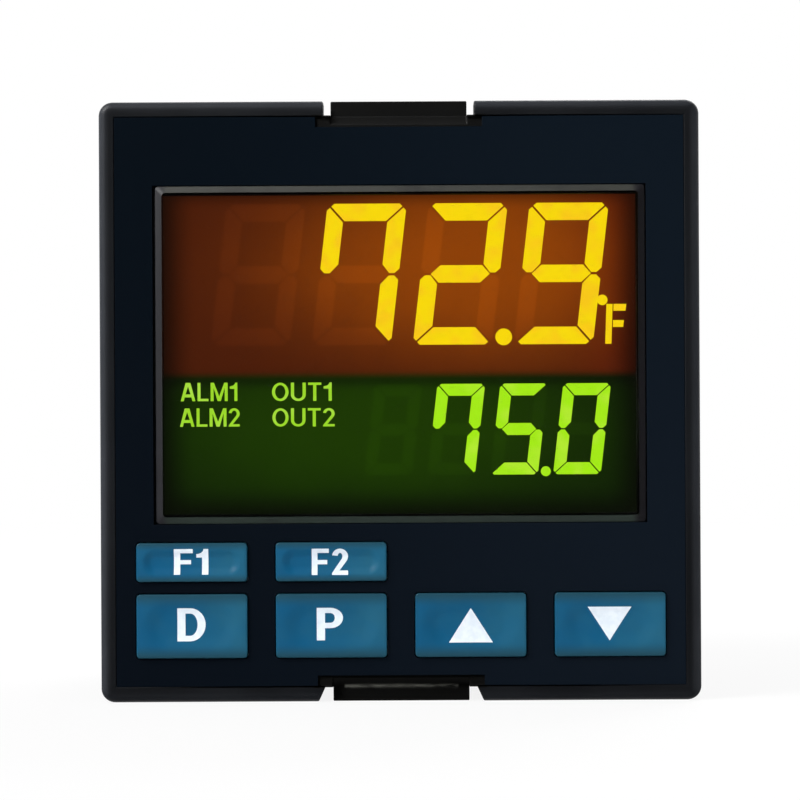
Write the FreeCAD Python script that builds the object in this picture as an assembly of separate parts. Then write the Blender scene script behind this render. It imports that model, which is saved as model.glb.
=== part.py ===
import FreeCAD, Part
from FreeCAD import Vector
import math
import os

# Panel-mounted process controller, front 96 mm square, all sizes in millimetres.
# Frame: X to the right, Z up, Y from the front towards the back. The origin is the centre of the
# panel cut-out, in the plane of the panel's front, so the face is at negative Y and the case at positive Y.

# ---- front bezel -------------------------------------------------------------------------------
front_side = 96.0  # outline of the front, square
front_depth = 8.5  # face to panel
front_corner = 2.2  # outline corner radius
front_round = 1.2  # rounding along the outer edge of the face
face_wall = 2.8  # thickness of the face
lap_gap = 0.1  # between the case and the pocket it enters

# ---- case --------------------------------------------------------------------------------------
cutout_side = 92.0  # panel cut-out, square
cutout_gap = 0.5  # case to cut-out, each side
case_wall = 2.2
case_corner = 2.0
case_lap = 5.2  # reach of the case into the bezel
case_depth = 48.0  # panel to the outside of the back wall
case_back_cut = 0.8  # chamfer round the back wall

# ---- latches between bezel and case, top and bottom ----------------------------------------------
tongue_width = 21.8
tongue_relief = 0.7  # thins the tongue from inside so that it bends
tongue_recess = 1.6  # the tongue's front lies this far behind the face
slot_root = 1.2  # width of the gap beside the tongue, at its root
slot_mouth = 2.3  # and at the outline
catch_width = 12.0
catch_length = 2.2
catch_height = 1.9
catch_setback = 2.0  # catch's square back to the panel
catch_gap = 0.1

# ---- film on the face ----------------------------------------------------------------------------
film_thick = 0.3
film_margin = 2.6  # outline of the front to the film
film_gap = 0.1

# ---- display window ------------------------------------------------------------------------------
lens_side_margin = 8.7  # side of the front to the window
lens_top_margin = 13.55  # top of the front to the window
lens_low_margin = 3.05  # window to the small keys
lens_thick = 2.0
lens_seat = 1.6  # depth of the lens's seat in the face
lens_ledge = 1.4  # width of the ledge that carries it
lens_chamfer = 0.6
lens_gap = 0.1

# ---- liquid crystal cell and its back light ------------------------------------------------------
gasket_thick = 0.5
gasket_inset = 0.5
glass_thick = 1.1  # each of the two plates
lcd_side_overlap = 2.6  # cell beyond the opening that it shows through, left and right
lcd_end_overlap = 2.45  # and above and below
lcd_lip = 2.0  # contact lip above and below the rear plate
lcd_gap = 0.15
frame_wall = 1.05
frame_bar = 3.0  # edge of the cell to the light box, above and below
frame_side = 1.7  # edge of the cell to the light box, left and right
divider_drop = 3.3  # middle of the window to the border between the amber and the green half
divider_thick = 0.8
guide_thick = 3.2
guide_gap = 0.2
led_height = 1.9
led_width = 3.5
led_depth = 2.8
led_count = 4  # in each half
strip_thick = 1.6
strip_inset = 1.4  # ends of the contact strips, inside the opening's width
strip_gap = 0.05

# ---- keys ----------------------------------------------------------------------------------------
key_pitch = 22.25
key_width = 17.7
key_height = 10.2
small_key_height = 6.2
key_row_space = 2.0  # small keys to large keys
key_low_margin = 7.1  # large keys to the bottom of the front
key_corner = 0.6  # radius that the straight cut at each corner stands for
key_gap = 0.15  # key to its opening, each side
key_rise = 0.5  # front of the key before the face
key_wall = 1.2
key_travel = 0.8
dish_margin = 0.9  # edge of the key to the finger dish
dish_lean = 0.7  # width of the slope down into the dish
dish_depth = 0.4
ear_reach = 0.7  # the ears that hold the key behind the face
ear_height = 3.2
ear_thick = 1.0
ear_gap = 0.1

# ---- keypad mat ----------------------------------------------------------------------------------
mat_thick = 1.2
mat_side_margin = 0.6  # mat to the edge of the front board
mat_top_gap = 0.2
pad_share_width = 0.55  # pad under the key, as a share of the key
pad_share_height = 0.45
pad_thick = 1.65
web_run = 0.8
web_thick = 0.4
pill_thick = 0.3
pill_side = 2.2
pill_gap = 0.05  # pill to board with the key pressed
post_inset = 0.2

# ---- boards --------------------------------------------------------------------------------------
board_thick = 1.6
hook_thick = 1.1
hook_clear = 0.15  # hooks to the inside of the case
hook_width = 3.4
hook_nose = 0.8
hook_spacing = 54.0  # between the two hooks above, and between the two below
hook_gap = 0.05
side_board_margin = 9.8  # inside of the case's side to the middle of each side board
side_board_front = 3.0  # front board to the side boards
rail_gap = 0.1
rail_thick = 1.2
rail_height = 2.0
rail_setback = 1.0  # front edge of the side boards to the rails
edge_reach = 1.8  # board edge into its socket
edge_height = 37.6
socket_width = 4.0
socket_depth = 6.0
socket_wall = 1.2

# ---- parts on the boards -------------------------------------------------------------------------
core_height = 16.0
core_width = 22.0
core_thick = 7.0
core_leg = 3.0
coil_depth = 18.0
coil_gap = 0.1
coil_base = 2.0
transformer_shift = 0.5  # middle of the side board to the transformer's middle
transformer_z = -14.0
reservoir_radius = 6.5
reservoir_length = 21.0
reservoir_space = 1.5  # socket to the reservoir capacitor
filter_height = 12.0
filter_width = 14.0
filter_depth = 5.5
filter_space = 1.2  # reservoir to the filter capacitor
capacitor_z = 16.0
varistor_radius = 4.8
varistor_thick = 3.4
varistor_lead = 0.8
varistor_setback = 10.0  # back edge of the board to the disc
varistor_z = 31.0
fuse_width = 8.4
fuse_depth = 4.2
fuse_height = 7.6
fuse_setback = 7.0  # front edge of the board to the fuse
fuse_z = 31.0
relay_height = 15.4
relay_width = 18.4
relay_depth = 10.2
relay_shift = 3.5  # middle of the side board to the relays' middle
relay_pitch = 24.0
chip_side = 12.0
chip_thick = 1.5
chip_z = 12.0

# ---- rear terminals ------------------------------------------------------------------------------
terminal_count = 6  # in each block
terminal_pitch = 10.0
barrier_thick = 1.2
barrier_lead = 2.0  # the cut at each barrier's outer corner
block_width = 13.0
block_wall = 1.5
block_side_margin = 1.3  # inside of the case's side to the block
block_inside = 8.0  # block within the case, from the outside of the back wall
block_reach = 12.0  # barriers beyond the back wall
block_deck = 2.5  # deck beyond the back wall
block_gap = 0.15
flange_width = 1.1  # rim that holds the block behind the back wall
flange_thick = 2.0
flange_gap = 0.05
contact_thick = 1.0
contact_gap = 0.3
blade_thick = 0.5
blade_width = 1.2
blade_reach = 3.0  # blade along the side board
clamp_side = 7.2
clamp_thick = 0.9
terminal_screw_radius = 1.75
terminal_screw_length = 7.0
thread_gap = 0.05
pocket_gap = 0.3
terminal_head_radius = 3.2
terminal_head_height = 2.2
driver_slot_width = 0.9
driver_slot_depth = 1.2

# ---- vents and clip channels in the case ---------------------------------------------------------
vent_count = 6
vent_width = 1.6
vent_length = 16.0
vent_pitch = 4.0
vent_start = 13.0
vent_x = 21.5  # middle of each bank of slots
channel_width = 12.0
channel_depth = 1.0
channel_start = 8.0
channel_end = 4.0  # channel to the back wall's outside
ratchet_width = 7.0
ratchet_pitch = 2.5
ratchet_height = 0.7

# ---- working allowances --------------------------------------------------------------------------
overcut = 1.0  # how far a cutting shape runs past what it cuts
bury = 0.5  # how far a shape that is joined on reaches into what carries it
corner_share = 0.9  # most of a corner's radius that the rounding of the edge beside it takes

# ---- places worked out from the sizes above ------------------------------------------------------
case_side = cutout_side - 2 * cutout_gap
case_half = case_side / 2
front_half = front_side / 2
cavity_half = case_half - case_wall
pocket_half = case_half + lap_gap
face_y = -front_depth
wall_y = face_y + face_wall  # back of the face
cell_y = wall_y + gasket_thick  # front of the liquid crystal cell
lip_y = cell_y + glass_thick  # back of its front plate
lcd_back_y = cell_y + 2 * glass_thick
guide_y = lcd_back_y + guide_gap / 2
board_y = guide_y + guide_thick + guide_gap + led_height  # front of the front board
board_back_y = board_y + board_thick
key_row_z = -front_half + key_low_margin + key_height / 2
small_key_row_z = key_row_z + key_height / 2 + key_row_space + small_key_height / 2
lens_low_z = small_key_row_z + small_key_height / 2 + lens_low_margin
lens_top_z = front_half - lens_top_margin
lens_z = (lens_low_z + lens_top_z) / 2
lens_width = front_side - 2 * lens_side_margin
lens_height = lens_top_z - lens_low_z
view_width = lens_width - 2 * lens_ledge
view_height = lens_height - 2 * lens_ledge
film_side = front_side - 2 * film_margin
scoop_z = case_half - tongue_recess  # where the scoop before the tongue starts in the face
key_y = face_y - key_rise
ear_y = wall_y + ear_gap
skirt_y = ear_y + ear_thick
pill_back_y = board_y - key_travel - pill_gap
pad_back_y = pill_back_y - pill_thick
pad_y = pad_back_y - pad_thick
lcd_width = view_width + 2 * lcd_side_overlap
lcd_height = view_height + 2 * lcd_end_overlap  # front plate, which carries the contacts
divider_z = lens_z - divider_drop
strip_length = view_width - 2 * strip_inset
frame_half_width = lcd_width / 2 + lcd_gap + frame_wall
frame_half_height = lcd_height / 2 + lcd_gap + frame_wall
light_half_width = lcd_width / 2 - frame_side
light_half_height = lcd_height / 2 - frame_bar
strip_offset = lcd_height / 2 - lcd_lip / 2
front_board_side = 2 * (cavity_half - hook_clear - hook_thick - hook_gap)
side_board_x = cavity_half - side_board_margin
side_board_y = board_back_y + side_board_front
side_board_end = case_depth - block_inside
side_board_middle = (side_board_y + side_board_end) / 2
rail_start = side_board_y + rail_setback
socket_end = board_back_y + socket_depth
transformer_y = side_board_middle + transformer_shift
relay_y = side_board_middle + relay_shift
reservoir_y = socket_end + reservoir_space + reservoir_radius
filter_y = reservoir_y + reservoir_radius + filter_space + filter_depth / 2
varistor_y = side_board_end - varistor_setback
fuse_y = side_board_y + fuse_setback
block_y = case_depth + block_reach
deck_y = case_depth + block_deck
block_half = terminal_count * terminal_pitch / 2 + barrier_thick / 2
block_outer_x = cavity_half - block_side_margin
block_inner_x = block_outer_x - block_width
cell_x = block_outer_x - (block_width - block_wall) / 2  # middle of the screws
flange_y = case_depth - case_wall - flange_gap  # back of the rim that holds the block
power_face = -side_board_x + board_thick / 2  # inner face of the power board
output_face = side_board_x - board_thick / 2  # inner face of the output board
clamp_y = deck_y + contact_thick
head_y = clamp_y + clamp_thick

# Each key: name, column from the left, and whether it is one of the two small ones.
keys = [
    ("f1", 0, True),
    ("f2", 1, True),
    ("display", 0, False),
    ("program", 1, False),
    ("up", 2, False),
    ("down", 3, False),
]
key_columns = 4


def block(x0, x1, y0, y1, z0, z1):
    """A box between two corners."""
    low = Vector(min(x0, x1), min(y0, y1), min(z0, z1))
    return Part.makeBox(abs(x1 - x0), abs(y1 - y0), abs(z1 - z0), low)


def rectangle(width, height, y, x=0.0, z=0.0, corner=0.0, rounded=True):
    """A closed wire in the plane of the face; its corners are sharp, rounded, or cut at 45 degrees."""
    a, b = width / 2, height / 2
    quarters = ((1, 1), (-1, 1), (-1, -1), (1, -1))
    if corner <= 0:
        points = [Vector(x + sx * a, y, z + sz * b) for sx, sz in quarters]
        return Part.makePolygon(points + points[:1])
    r = min(corner, a * corner_share, b * corner_share)
    k = r * (1 - math.sqrt(1 / 2))  # from the square corner to the middle of the arc, along each side
    if not rounded:
        r = 2 * k  # the straight cut that touches the arc's middle
    corners = []
    for sx, sz in quarters:
        upright = Vector(x + sx * a, y, z + sz * (b - r))
        middle = Vector(x + sx * (a - k), y, z + sz * (b - k))
        level = Vector(x + sx * (a - r), y, z + sz * b)
        corners.append((upright, middle, level) if sx * sz > 0 else (level, middle, upright))
    edges = []
    previous = corners[-1][2]
    for start, middle, end in corners:
        edges.append(Part.makeLine(previous, start))
        edges.append(Part.Arc(start, middle, end).toShape() if rounded else Part.makeLine(start, end))
        previous = end
    return Part.Wire(edges)


def plate(width, height, y0, y1, x=0.0, z=0.0, corner=0.0, rounded=True):
    """A rectangle given thickness from y0 to y1."""
    face = Part.Face(rectangle(width, height, y0, x, z, corner, rounded))
    return face.extrude(Vector(0, y1 - y0, 0))


def tapered_plate(width, height, y0, lean, y1, x=0.0, z=0.0):
    """A plate whose four sides lean out by an amount from y0 to y1."""
    a, b = width / 2, height / 2
    wide_a, wide_b = a + lean, b + lean
    return Part.makeWedge(x - a, y0, z - b, z - wide_b, x - wide_a, x + a, y1, z + b, z + wide_b, x + wide_a)


def tapered_pill(width, height, y0, lean, y1, x, z):
    """The same with round ends: two cones joined by a bar. A negative lean is inwards."""
    run = (width - height) / 2
    a, b = height / 2, height / 2 + lean
    ends = [Part.makeCone(a, b, y1 - y0, Vector(x + side * run, y0, z), Vector(0, 1, 0)) for side in (1, -1)]
    section = [(x - run, y0, z - a), (x - run, y0, z + a), (x - run, y1, z + b), (x - run, y1, z - b)]
    return joined([profile(section, Vector(2 * run, 0, 0))] + ends)


def profile(points, direction):
    """A closed outline of straight lines, given thickness along a direction."""
    corners = [Vector(*p) for p in points]
    return Part.Face(Part.makePolygon(corners + corners[:1])).extrude(direction)


def rod(radius, start, direction, length):
    return Part.makeCylinder(radius, length, Vector(*start), Vector(*direction))


def joined(solids):
    """One solid out of several that overlap."""
    first, rest = solids[0], solids[1:]
    return first.fuse(rest).removeSplitter() if rest else first


def mirrored(shape, normal):
    return shape.mirror(Vector(0, 0, 0), Vector(*normal))


def edges_at(shape, y, reach):
    """Edges that lie in the plane y, further than reach from the middle in X or Z."""
    found = []
    for edge in shape.Edges:
        box = edge.BoundBox
        far = max(abs(box.XMin), abs(box.XMax), abs(box.ZMin), abs(box.ZMax))
        if abs(box.YMin - y) < 1e-4 and abs(box.YMax - y) < 1e-4 and far > reach:
            found.append(edge)
    return found


def key_place(column, small):
    """Middle and height of a key: x, z, height."""
    x = (column - (key_columns - 1) / 2) * key_pitch
    return (x, small_key_row_z, small_key_height) if small else (x, key_row_z, key_height)


def latch_slot(side):
    """The gap beside the top latch's tongue; side is 1 on the right and -1 on the left."""
    inner = side * tongue_width / 2
    root = inner + side * slot_root
    mouth = inner + side * slot_mouth
    low = (case_half + pocket_half) / 2
    top = front_half + overcut
    y = face_y - overcut
    points = [(inner, y, low), (root, y, low), (mouth, y, front_half), (mouth, y, top), (inner, y, top)]
    return profile(points, Vector(0, front_depth + 2 * overcut, 0))


def scoop():
    """The sloping hollow in the face before the top tongue."""
    top = front_half + overcut
    deep = face_y + tongue_recess
    points = [(-tongue_width / 2, face_y, scoop_z), (-tongue_width / 2, deep, case_half)]
    points += [(-tongue_width / 2, deep, top), (-tongue_width / 2, face_y - overcut, top)]
    points += [(-tongue_width / 2, face_y - overcut, scoop_z)]
    return profile(points, Vector(tongue_width, 0, 0))


def latch_cuts():
    """Everything that is taken out of the bezel to make the top tongue."""
    relief_z = pocket_half + tongue_relief
    half = tongue_width / 2
    relief = block(-half, half, wall_y, 1, pocket_half - overcut, relief_z)
    window_half = catch_width / 2 + 2 * catch_gap
    window_back = -catch_setback + catch_gap
    window_front = -catch_setback - catch_length - 2 * catch_gap
    window = block(-window_half, window_half, window_front, window_back,
                   pocket_half - overcut, front_half + overcut)
    return [latch_slot(1), latch_slot(-1), scoop(), relief, window]


def front_bezel():
    shell = plate(front_side, front_side, face_y, 0, corner=front_corner)
    outer = edges_at(shell, face_y, front_half - 2 * front_corner)
    shell = shell.makeFillet(min(front_round, front_corner * corner_share), outer)
    cuts = [plate(2 * pocket_half, 2 * pocket_half, wall_y, 1)]
    film_hole = film_side + 2 * film_gap
    cuts.append(plate(film_hole, film_hole, face_y - overcut, face_y + film_thick))
    cuts.append(lens_opening(face_y - overcut, face_y + lens_seat))
    cuts.append(plate(view_width, view_height, face_y, wall_y + overcut, 0, lens_z))
    cuts += [key_opening(column, small, face_y - overcut, wall_y + overcut) for _, column, small in keys]
    top_cuts = latch_cuts()
    cuts += top_cuts + [mirrored(c, (0, 0, 1)) for c in top_cuts]
    hooks = [board_hook(side) for side in (1, -1)]
    hooks += [mirrored(h, (0, 0, 1)) for h in hooks]
    return joined([shell.cut(cuts)] + hooks)


def board_hook(side):
    """A hook behind the face that holds the front board's upper edge."""
    x = side * hook_spacing / 2 - hook_width / 2
    root_y = wall_y - face_wall / 4
    stem_low = front_board_side / 2 + hook_gap
    stem_high = stem_low + hook_thick
    catch_y = board_back_y + hook_gap
    end_y = catch_y + hook_thick
    points = [(x, root_y, stem_high), (x, end_y, stem_high), (x, end_y, stem_low)]
    points += [(x, catch_y, stem_low - hook_nose), (x, catch_y, stem_low), (x, root_y, stem_low)]
    return profile(points, Vector(hook_width, 0, 0))


def lens_opening(y0, y1):
    return plate(lens_width + 2 * lens_gap, lens_height + 2 * lens_gap, y0, y1, 0, lens_z)


def key_opening(column, small, y0, y1):
    x, z, height = key_place(column, small)
    grown = 2 * key_gap
    return plate(key_width + grown, height + grown, y0, y1, x, z, key_corner + key_gap, rounded=False)


def front_overlay():
    film = plate(film_side, film_side, face_y, face_y + film_thick)
    cuts = [lens_opening(face_y - overcut, 0)]
    cuts += [key_opening(column, small, face_y - overcut, 0) for _, column, small in keys]
    half = tongue_width / 2 + slot_mouth + film_gap
    for side in (1, -1):
        cuts.append(block(-half, half, face_y - overcut, 0, side * (scoop_z - film_gap), side * front_half))
    return film.cut(cuts)


def display_lens():
    back = face_y + lens_seat
    front = back - lens_thick
    lens = plate(lens_width, lens_height, front, back, 0, lens_z)
    return lens.makeChamfer(min(lens_chamfer, lens_thick / 2), edges_at(lens, front, 0))


def lcd_gasket():
    inset = 2 * gasket_inset
    outer = plate(lcd_width - inset, lcd_height - inset, wall_y, cell_y, 0, lens_z)
    return outer.cut(plate(view_width, view_height, wall_y - overcut, cell_y + overcut, 0, lens_z))


def lcd_panel():
    front = plate(lcd_width, lcd_height, cell_y, lip_y, 0, lens_z)
    rear = plate(lcd_width, lcd_height - 2 * lcd_lip, lip_y, lcd_back_y, 0, lens_z)
    return joined([front, rear])


def display_frame():
    front = wall_y + lcd_gap
    body = plate(2 * frame_half_width, 2 * frame_half_height, front, board_y, 0, lens_z)
    gap = 2 * lcd_gap
    cuts = [plate(lcd_width + gap, lcd_height + gap, front - overcut, lcd_back_y, 0, lens_z)]
    low, high = lens_z - light_half_height, lens_z + light_half_height
    wide = light_half_width
    half = divider_thick / 2
    cuts.append(block(-wide, wide, front, board_y + overcut, low, divider_z - half))
    cuts.append(block(-wide, wide, front, board_y + overcut, divider_z + half, high))
    slot_half = strip_thick / 2 + strip_gap
    slot_long = strip_length / 2 + strip_gap
    for side in (1, -1):
        z = lens_z + side * strip_offset
        cuts.append(block(-slot_long, slot_long, front, board_y + overcut, z - slot_half, z + slot_half))
    return body.cut(cuts)


def light_guide(low, high):
    """The clear plate that spreads the lamps' light over one half of the cell."""
    wide = light_half_width - guide_gap
    return block(-wide, wide, guide_y, guide_y + guide_thick, low + guide_gap, high - guide_gap)


def light_guide_upper():
    return light_guide(divider_z + divider_thick / 2, lens_z + light_half_height)


def light_guide_lower():
    return light_guide(lens_z - light_half_height, divider_z - divider_thick / 2)


def led_row(z):
    """Lamps on the front board behind one half of the cell."""
    pitch = 2 * light_half_width / led_count
    lamps = []
    for i in range(led_count):
        x = (i - (led_count - 1) / 2) * pitch
        lamps.append(plate(led_width, led_depth, board_y - led_height, board_y, x, z))
    return Part.makeCompound(lamps)


def backlight_leds_upper():
    return led_row((divider_z + lens_z + light_half_height) / 2)


def backlight_leds_lower():
    return led_row((divider_z + lens_z - light_half_height) / 2)


def contact_strips():
    strips = []
    for side in (1, -1):
        strips.append(plate(strip_length, strip_thick, lip_y, board_y, 0, lens_z + side * strip_offset))
    return Part.makeCompound(strips)


def front_board():
    return plate(front_board_side, front_board_side, board_y, board_back_y)


def pad_size(small):
    height = small_key_height if small else key_height
    return pad_share_width * key_width, pad_share_height * height


def keypad_mat():
    """A rubber sheet on the board with a thin-walled dome under each key and a pad on each dome."""
    edge = front_board_side / 2 - mat_side_margin
    top = lens_z - frame_half_height - mat_top_gap
    base_y = board_y - mat_thick
    dome_y = base_y - web_run
    additions, cuts = [], []
    for _, column, small in keys:
        x, z, _ = key_place(column, small)
        wide, high = pad_size(small)
        foot_wide, foot_high = wide + 2 * web_run, high + 2 * web_run
        rim = 2 * web_thick
        cuts.append(plate(foot_wide - rim, foot_high - rim, base_y - overcut, board_y + overcut, x, z))
        dome = tapered_plate(wide, high, dome_y, web_run, base_y, x, z)
        hollow = tapered_plate(wide - 2 * web_thick, high - 2 * web_thick, dome_y, web_run, base_y, x, z)
        additions.append(dome.cut(hollow))
        additions.append(plate(wide, high, pad_y, pad_back_y, x, z))
    sheet = block(-edge, edge, base_y, board_y, -edge, top)
    return joined([sheet.cut(cuts)] + additions)


def contact_pills():
    """The conducting spots behind the pads."""
    pills = []
    for _, column, small in keys:
        x, z, _ = key_place(column, small)
        pills.append(plate(pill_side, pill_side, pad_back_y, pill_back_y, x, z))
    return Part.makeCompound(pills)


def key_cap(column, small):
    """A moulded cap: a finger dish in front, a skirt with an ear on each side, and a post behind."""
    x, z, height = key_place(column, small)
    body = plate(key_width, height, key_y, skirt_y, x, z, key_corner, rounded=False)
    wall = 2 * key_wall
    hollow = plate(key_width - wall, height - wall, key_y + key_wall, skirt_y + overcut, x, z)
    margin = 2 * dish_margin
    dish = tapered_pill(key_width - margin, height - margin, key_y, -dish_lean, key_y + dish_depth, x, z)
    pad_wide, pad_high = pad_size(small)
    inset = 2 * post_inset
    post = plate(pad_wide - inset, pad_high - inset, key_y + key_wall / 2, pad_y, x, z)
    reach = key_width / 2 + ear_reach
    inside = key_width / 2 - key_wall / 2
    ear_half = ear_height / 2
    ears = [block(x + side * inside, x + side * reach, ear_y, skirt_y, z - ear_half, z + ear_half)
            for side in (1, -1)]
    return joined([body.cut([hollow, dish]), post] + ears)


def board_sockets():
    """Edge sockets behind the front board, one for each side board."""
    sockets = []
    half_slot = board_thick / 2 + strip_gap
    long_half = edge_height / 2 + socket_wall
    for side in (1, -1):
        x = side * side_board_x
        body = block(x - socket_width / 2, x + socket_width / 2, board_back_y,
                     socket_end, -long_half, long_half)
        slot = block(x - half_slot, x + half_slot, side_board_y - edge_reach - strip_gap,
                     socket_end + overcut, -edge_height / 2 - rail_gap, edge_height / 2 + rail_gap)
        gap = block(x - half_slot, x + half_slot, side_board_y - strip_gap,
                    socket_end + overcut, -long_half - overcut, long_half + overcut)
        sockets.append(body.cut([slot, gap]))
    return Part.makeCompound(sockets)


def side_board(side):
    """A board that stands fore and aft, with an edge that enters the socket and another at the terminals."""
    x0 = side * side_board_x - board_thick / 2
    x1 = x0 + board_thick
    high = cavity_half - rail_gap
    main = block(x0, x1, side_board_y, side_board_end, -high, high)
    edge = block(x0, x1, side_board_y - edge_reach, side_board_y + overcut,
                 -edge_height / 2, edge_height / 2)
    return joined([main, edge])


def power_board():
    return side_board(-1)


def output_board():
    return side_board(1)


def transformer_core():
    low = power_face + coil_base
    high = low + core_height
    y0, y1 = transformer_y - core_thick / 2, transformer_y + core_thick / 2
    z = transformer_z
    core = block(low, high, y0, y1, z - core_width / 2, z + core_width / 2)
    windows = []
    for side in (1, -1):
        windows.append(block(low + core_leg, high - core_leg, y0 - overcut, y1 + overcut,
                             z + side * core_leg, z + side * (core_width / 2 - core_leg)))
    return core.cut(windows)


def transformer_coil():
    low = power_face + coil_base
    y0, y1 = transformer_y - coil_depth / 2, transformer_y + coil_depth / 2
    z = transformer_z
    half = core_width / 2 - core_leg - coil_gap
    inner_y0 = transformer_y - core_thick / 2 - coil_gap
    inner_y1 = transformer_y + core_thick / 2 + coil_gap
    inner = low + core_leg + coil_gap
    outer = low + core_height - core_leg - coil_gap
    winding = block(inner, outer, y0, y1, z - half, z + half)
    winding = winding.cut(block(low, low + core_height, inner_y0, inner_y1,
                                z - core_leg - coil_gap, z + core_leg + coil_gap))
    feet = [block(power_face, low + core_leg + overcut, y0, inner_y0, z - half, z + half),
            block(power_face, low + core_leg + overcut, inner_y1, y1, z - half, z + half)]
    base = block(power_face, low, y0, y1, z - core_width / 2, z + core_width / 2)
    return joined([winding, base] + feet)


def power_capacitors():
    reservoir = rod(reservoir_radius, (power_face, reservoir_y, capacitor_z), (1, 0, 0), reservoir_length)
    filter_box = block(power_face, power_face + filter_height,
                       filter_y - filter_depth / 2, filter_y + filter_depth / 2,
                       capacitor_z - filter_width / 2, capacitor_z + filter_width / 2)
    return Part.makeCompound([reservoir, filter_box])


def surge_varistor():
    x = power_face + varistor_radius + varistor_lead
    disc = rod(varistor_radius, (x, varistor_y - varistor_thick / 2, varistor_z), (0, 1, 0), varistor_thick)
    leads = []
    for side in (1, -1):
        z = varistor_z + side * varistor_radius / 2
        leads.append(block(power_face, x, varistor_y - varistor_lead / 2, varistor_y + varistor_lead / 2,
                           z - varistor_lead / 2, z + varistor_lead / 2))
    return joined([disc] + leads)


def power_fuse():
    return block(power_face, power_face + fuse_height, fuse_y - fuse_depth / 2, fuse_y + fuse_depth / 2,
                 fuse_z - fuse_width / 2, fuse_z + fuse_width / 2)


def output_relays():
    relays = []
    for i in (-1, 0, 1):
        z = i * relay_pitch
        relays.append(block(output_face - relay_height, output_face, relay_y - relay_depth / 2,
                            relay_y + relay_depth / 2, z - relay_width / 2, z + relay_width / 2))
    return Part.makeCompound(relays)


def processor_chip():
    return block(-chip_side / 2, chip_side / 2, board_back_y, board_back_y + chip_thick,
                 chip_z - chip_side / 2, chip_z + chip_side / 2)


def latch_catch():
    """The ramp on top of the case that the bezel's tongue snaps over."""
    back = -catch_setback
    front = back - catch_length
    low = case_half - bury
    top = case_half + catch_height
    half = catch_width / 2
    points = [(-half, front, low), (-half, back, low), (-half, back, top)]
    points += [(-half, front + catch_length / 2, top), (-half, front, case_half + lap_gap)]
    return profile(points, Vector(catch_width, 0, 0))


def clip_ratchet(start, end):
    """Sawteeth on the floor of the top clip channel."""
    floor = case_half - channel_depth
    count = int((end - start - ratchet_pitch) / ratchet_pitch)
    points = [(-ratchet_width / 2, start, floor - bury)]
    for i in range(count):
        y = start + i * ratchet_pitch
        points.append((-ratchet_width / 2, y, floor))
        points.append((-ratchet_width / 2, y + ratchet_pitch, floor + ratchet_height))
    y = start + count * ratchet_pitch
    points.append((-ratchet_width / 2, y, floor - bury))
    return profile(points, Vector(ratchet_width, 0, 0))


def case_shell():
    back = case_depth
    cavity_end = back - case_wall
    shell = plate(case_side, case_side, -case_lap, back, corner=case_corner)
    shell = shell.makeChamfer(min(case_back_cut, case_corner * corner_share), edges_at(shell, back, 0))
    cuts = [plate(2 * cavity_half, 2 * cavity_half, -case_lap - overcut, cavity_end)]
    for side in (1, -1):
        cuts.append(block(side * (block_inner_x - block_gap), side * (block_outer_x + block_gap),
                          cavity_end - overcut, back + overcut,
                          -block_half - block_gap, block_half + block_gap))
    channel_stop = back - channel_end
    channel = block(-channel_width / 2, channel_width / 2, channel_start, channel_stop,
                    case_half - channel_depth, case_half + overcut)
    vents = []
    for i in range(vent_count):
        y = vent_start + i * vent_pitch
        for side in (1, -1):
            x = side * vent_x
            vents.append(block(x - vent_length / 2, x + vent_length / 2, y, y + vent_width,
                               cavity_half - overcut, case_half + overcut))
    additions = [latch_catch(), clip_ratchet(channel_start, channel_stop)]
    for side in (1, -1):
        for hand in (1, -1):
            near = side * side_board_x + hand * (board_thick / 2 + rail_gap)
            additions.append(block(near, near + hand * rail_thick, rail_start, cavity_end + bury,
                                   cavity_half - rail_height, cavity_half + bury))
    cuts += [channel] + vents + [mirrored(c, (0, 0, 1)) for c in [channel] + vents]
    additions += [mirrored(a, (0, 0, 1)) for a in additions]
    return joined([shell.cut(cuts)] + additions)


def cell_places():
    return [(i - (terminal_count - 1) / 2) * terminal_pitch for i in range(terminal_count)]


def terminal_block(side):
    """A barrier block: a deck, an inner wall and a barrier on each side of every screw."""
    x0, x1 = side * block_inner_x, side * block_outer_x
    pieces = [block(x0, x1, side_board_end, deck_y, -block_half, block_half)]
    pieces.append(block(x0, x0 + side * block_wall, deck_y - overcut, block_y, -block_half, block_half))
    rim = side * flange_width
    pieces.append(block(x0 - rim, x1 + rim, flange_y - flange_thick, flange_y,
                        -block_half - flange_width, block_half + flange_width))
    for i in range(terminal_count + 1):
        z = (i - terminal_count / 2) * terminal_pitch - barrier_thick / 2
        points = [(x0, deck_y - overcut, z), (x1, deck_y - overcut, z), (x1, block_y - barrier_lead, z)]
        points += [(x1 - side * barrier_lead, block_y, z), (x0, block_y, z)]
        pieces.append(profile(points, Vector(0, 0, barrier_thick)))
    cuts = []
    pocket_side = 2 * (terminal_screw_radius + pocket_gap)
    pocket_y = head_y - terminal_screw_length - pocket_gap
    blade_x = side * (output_face - blade_thick / 2)
    for z in cell_places():
        cuts.append(plate(pocket_side, pocket_side, pocket_y, deck_y + overcut, side * cell_x, z))
        cuts.append(plate(blade_thick + 2 * strip_gap, blade_width + 2 * strip_gap,
                          side_board_end - overcut, deck_y + overcut, blade_x, z))
    return joined(pieces).cut(cuts)


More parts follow.
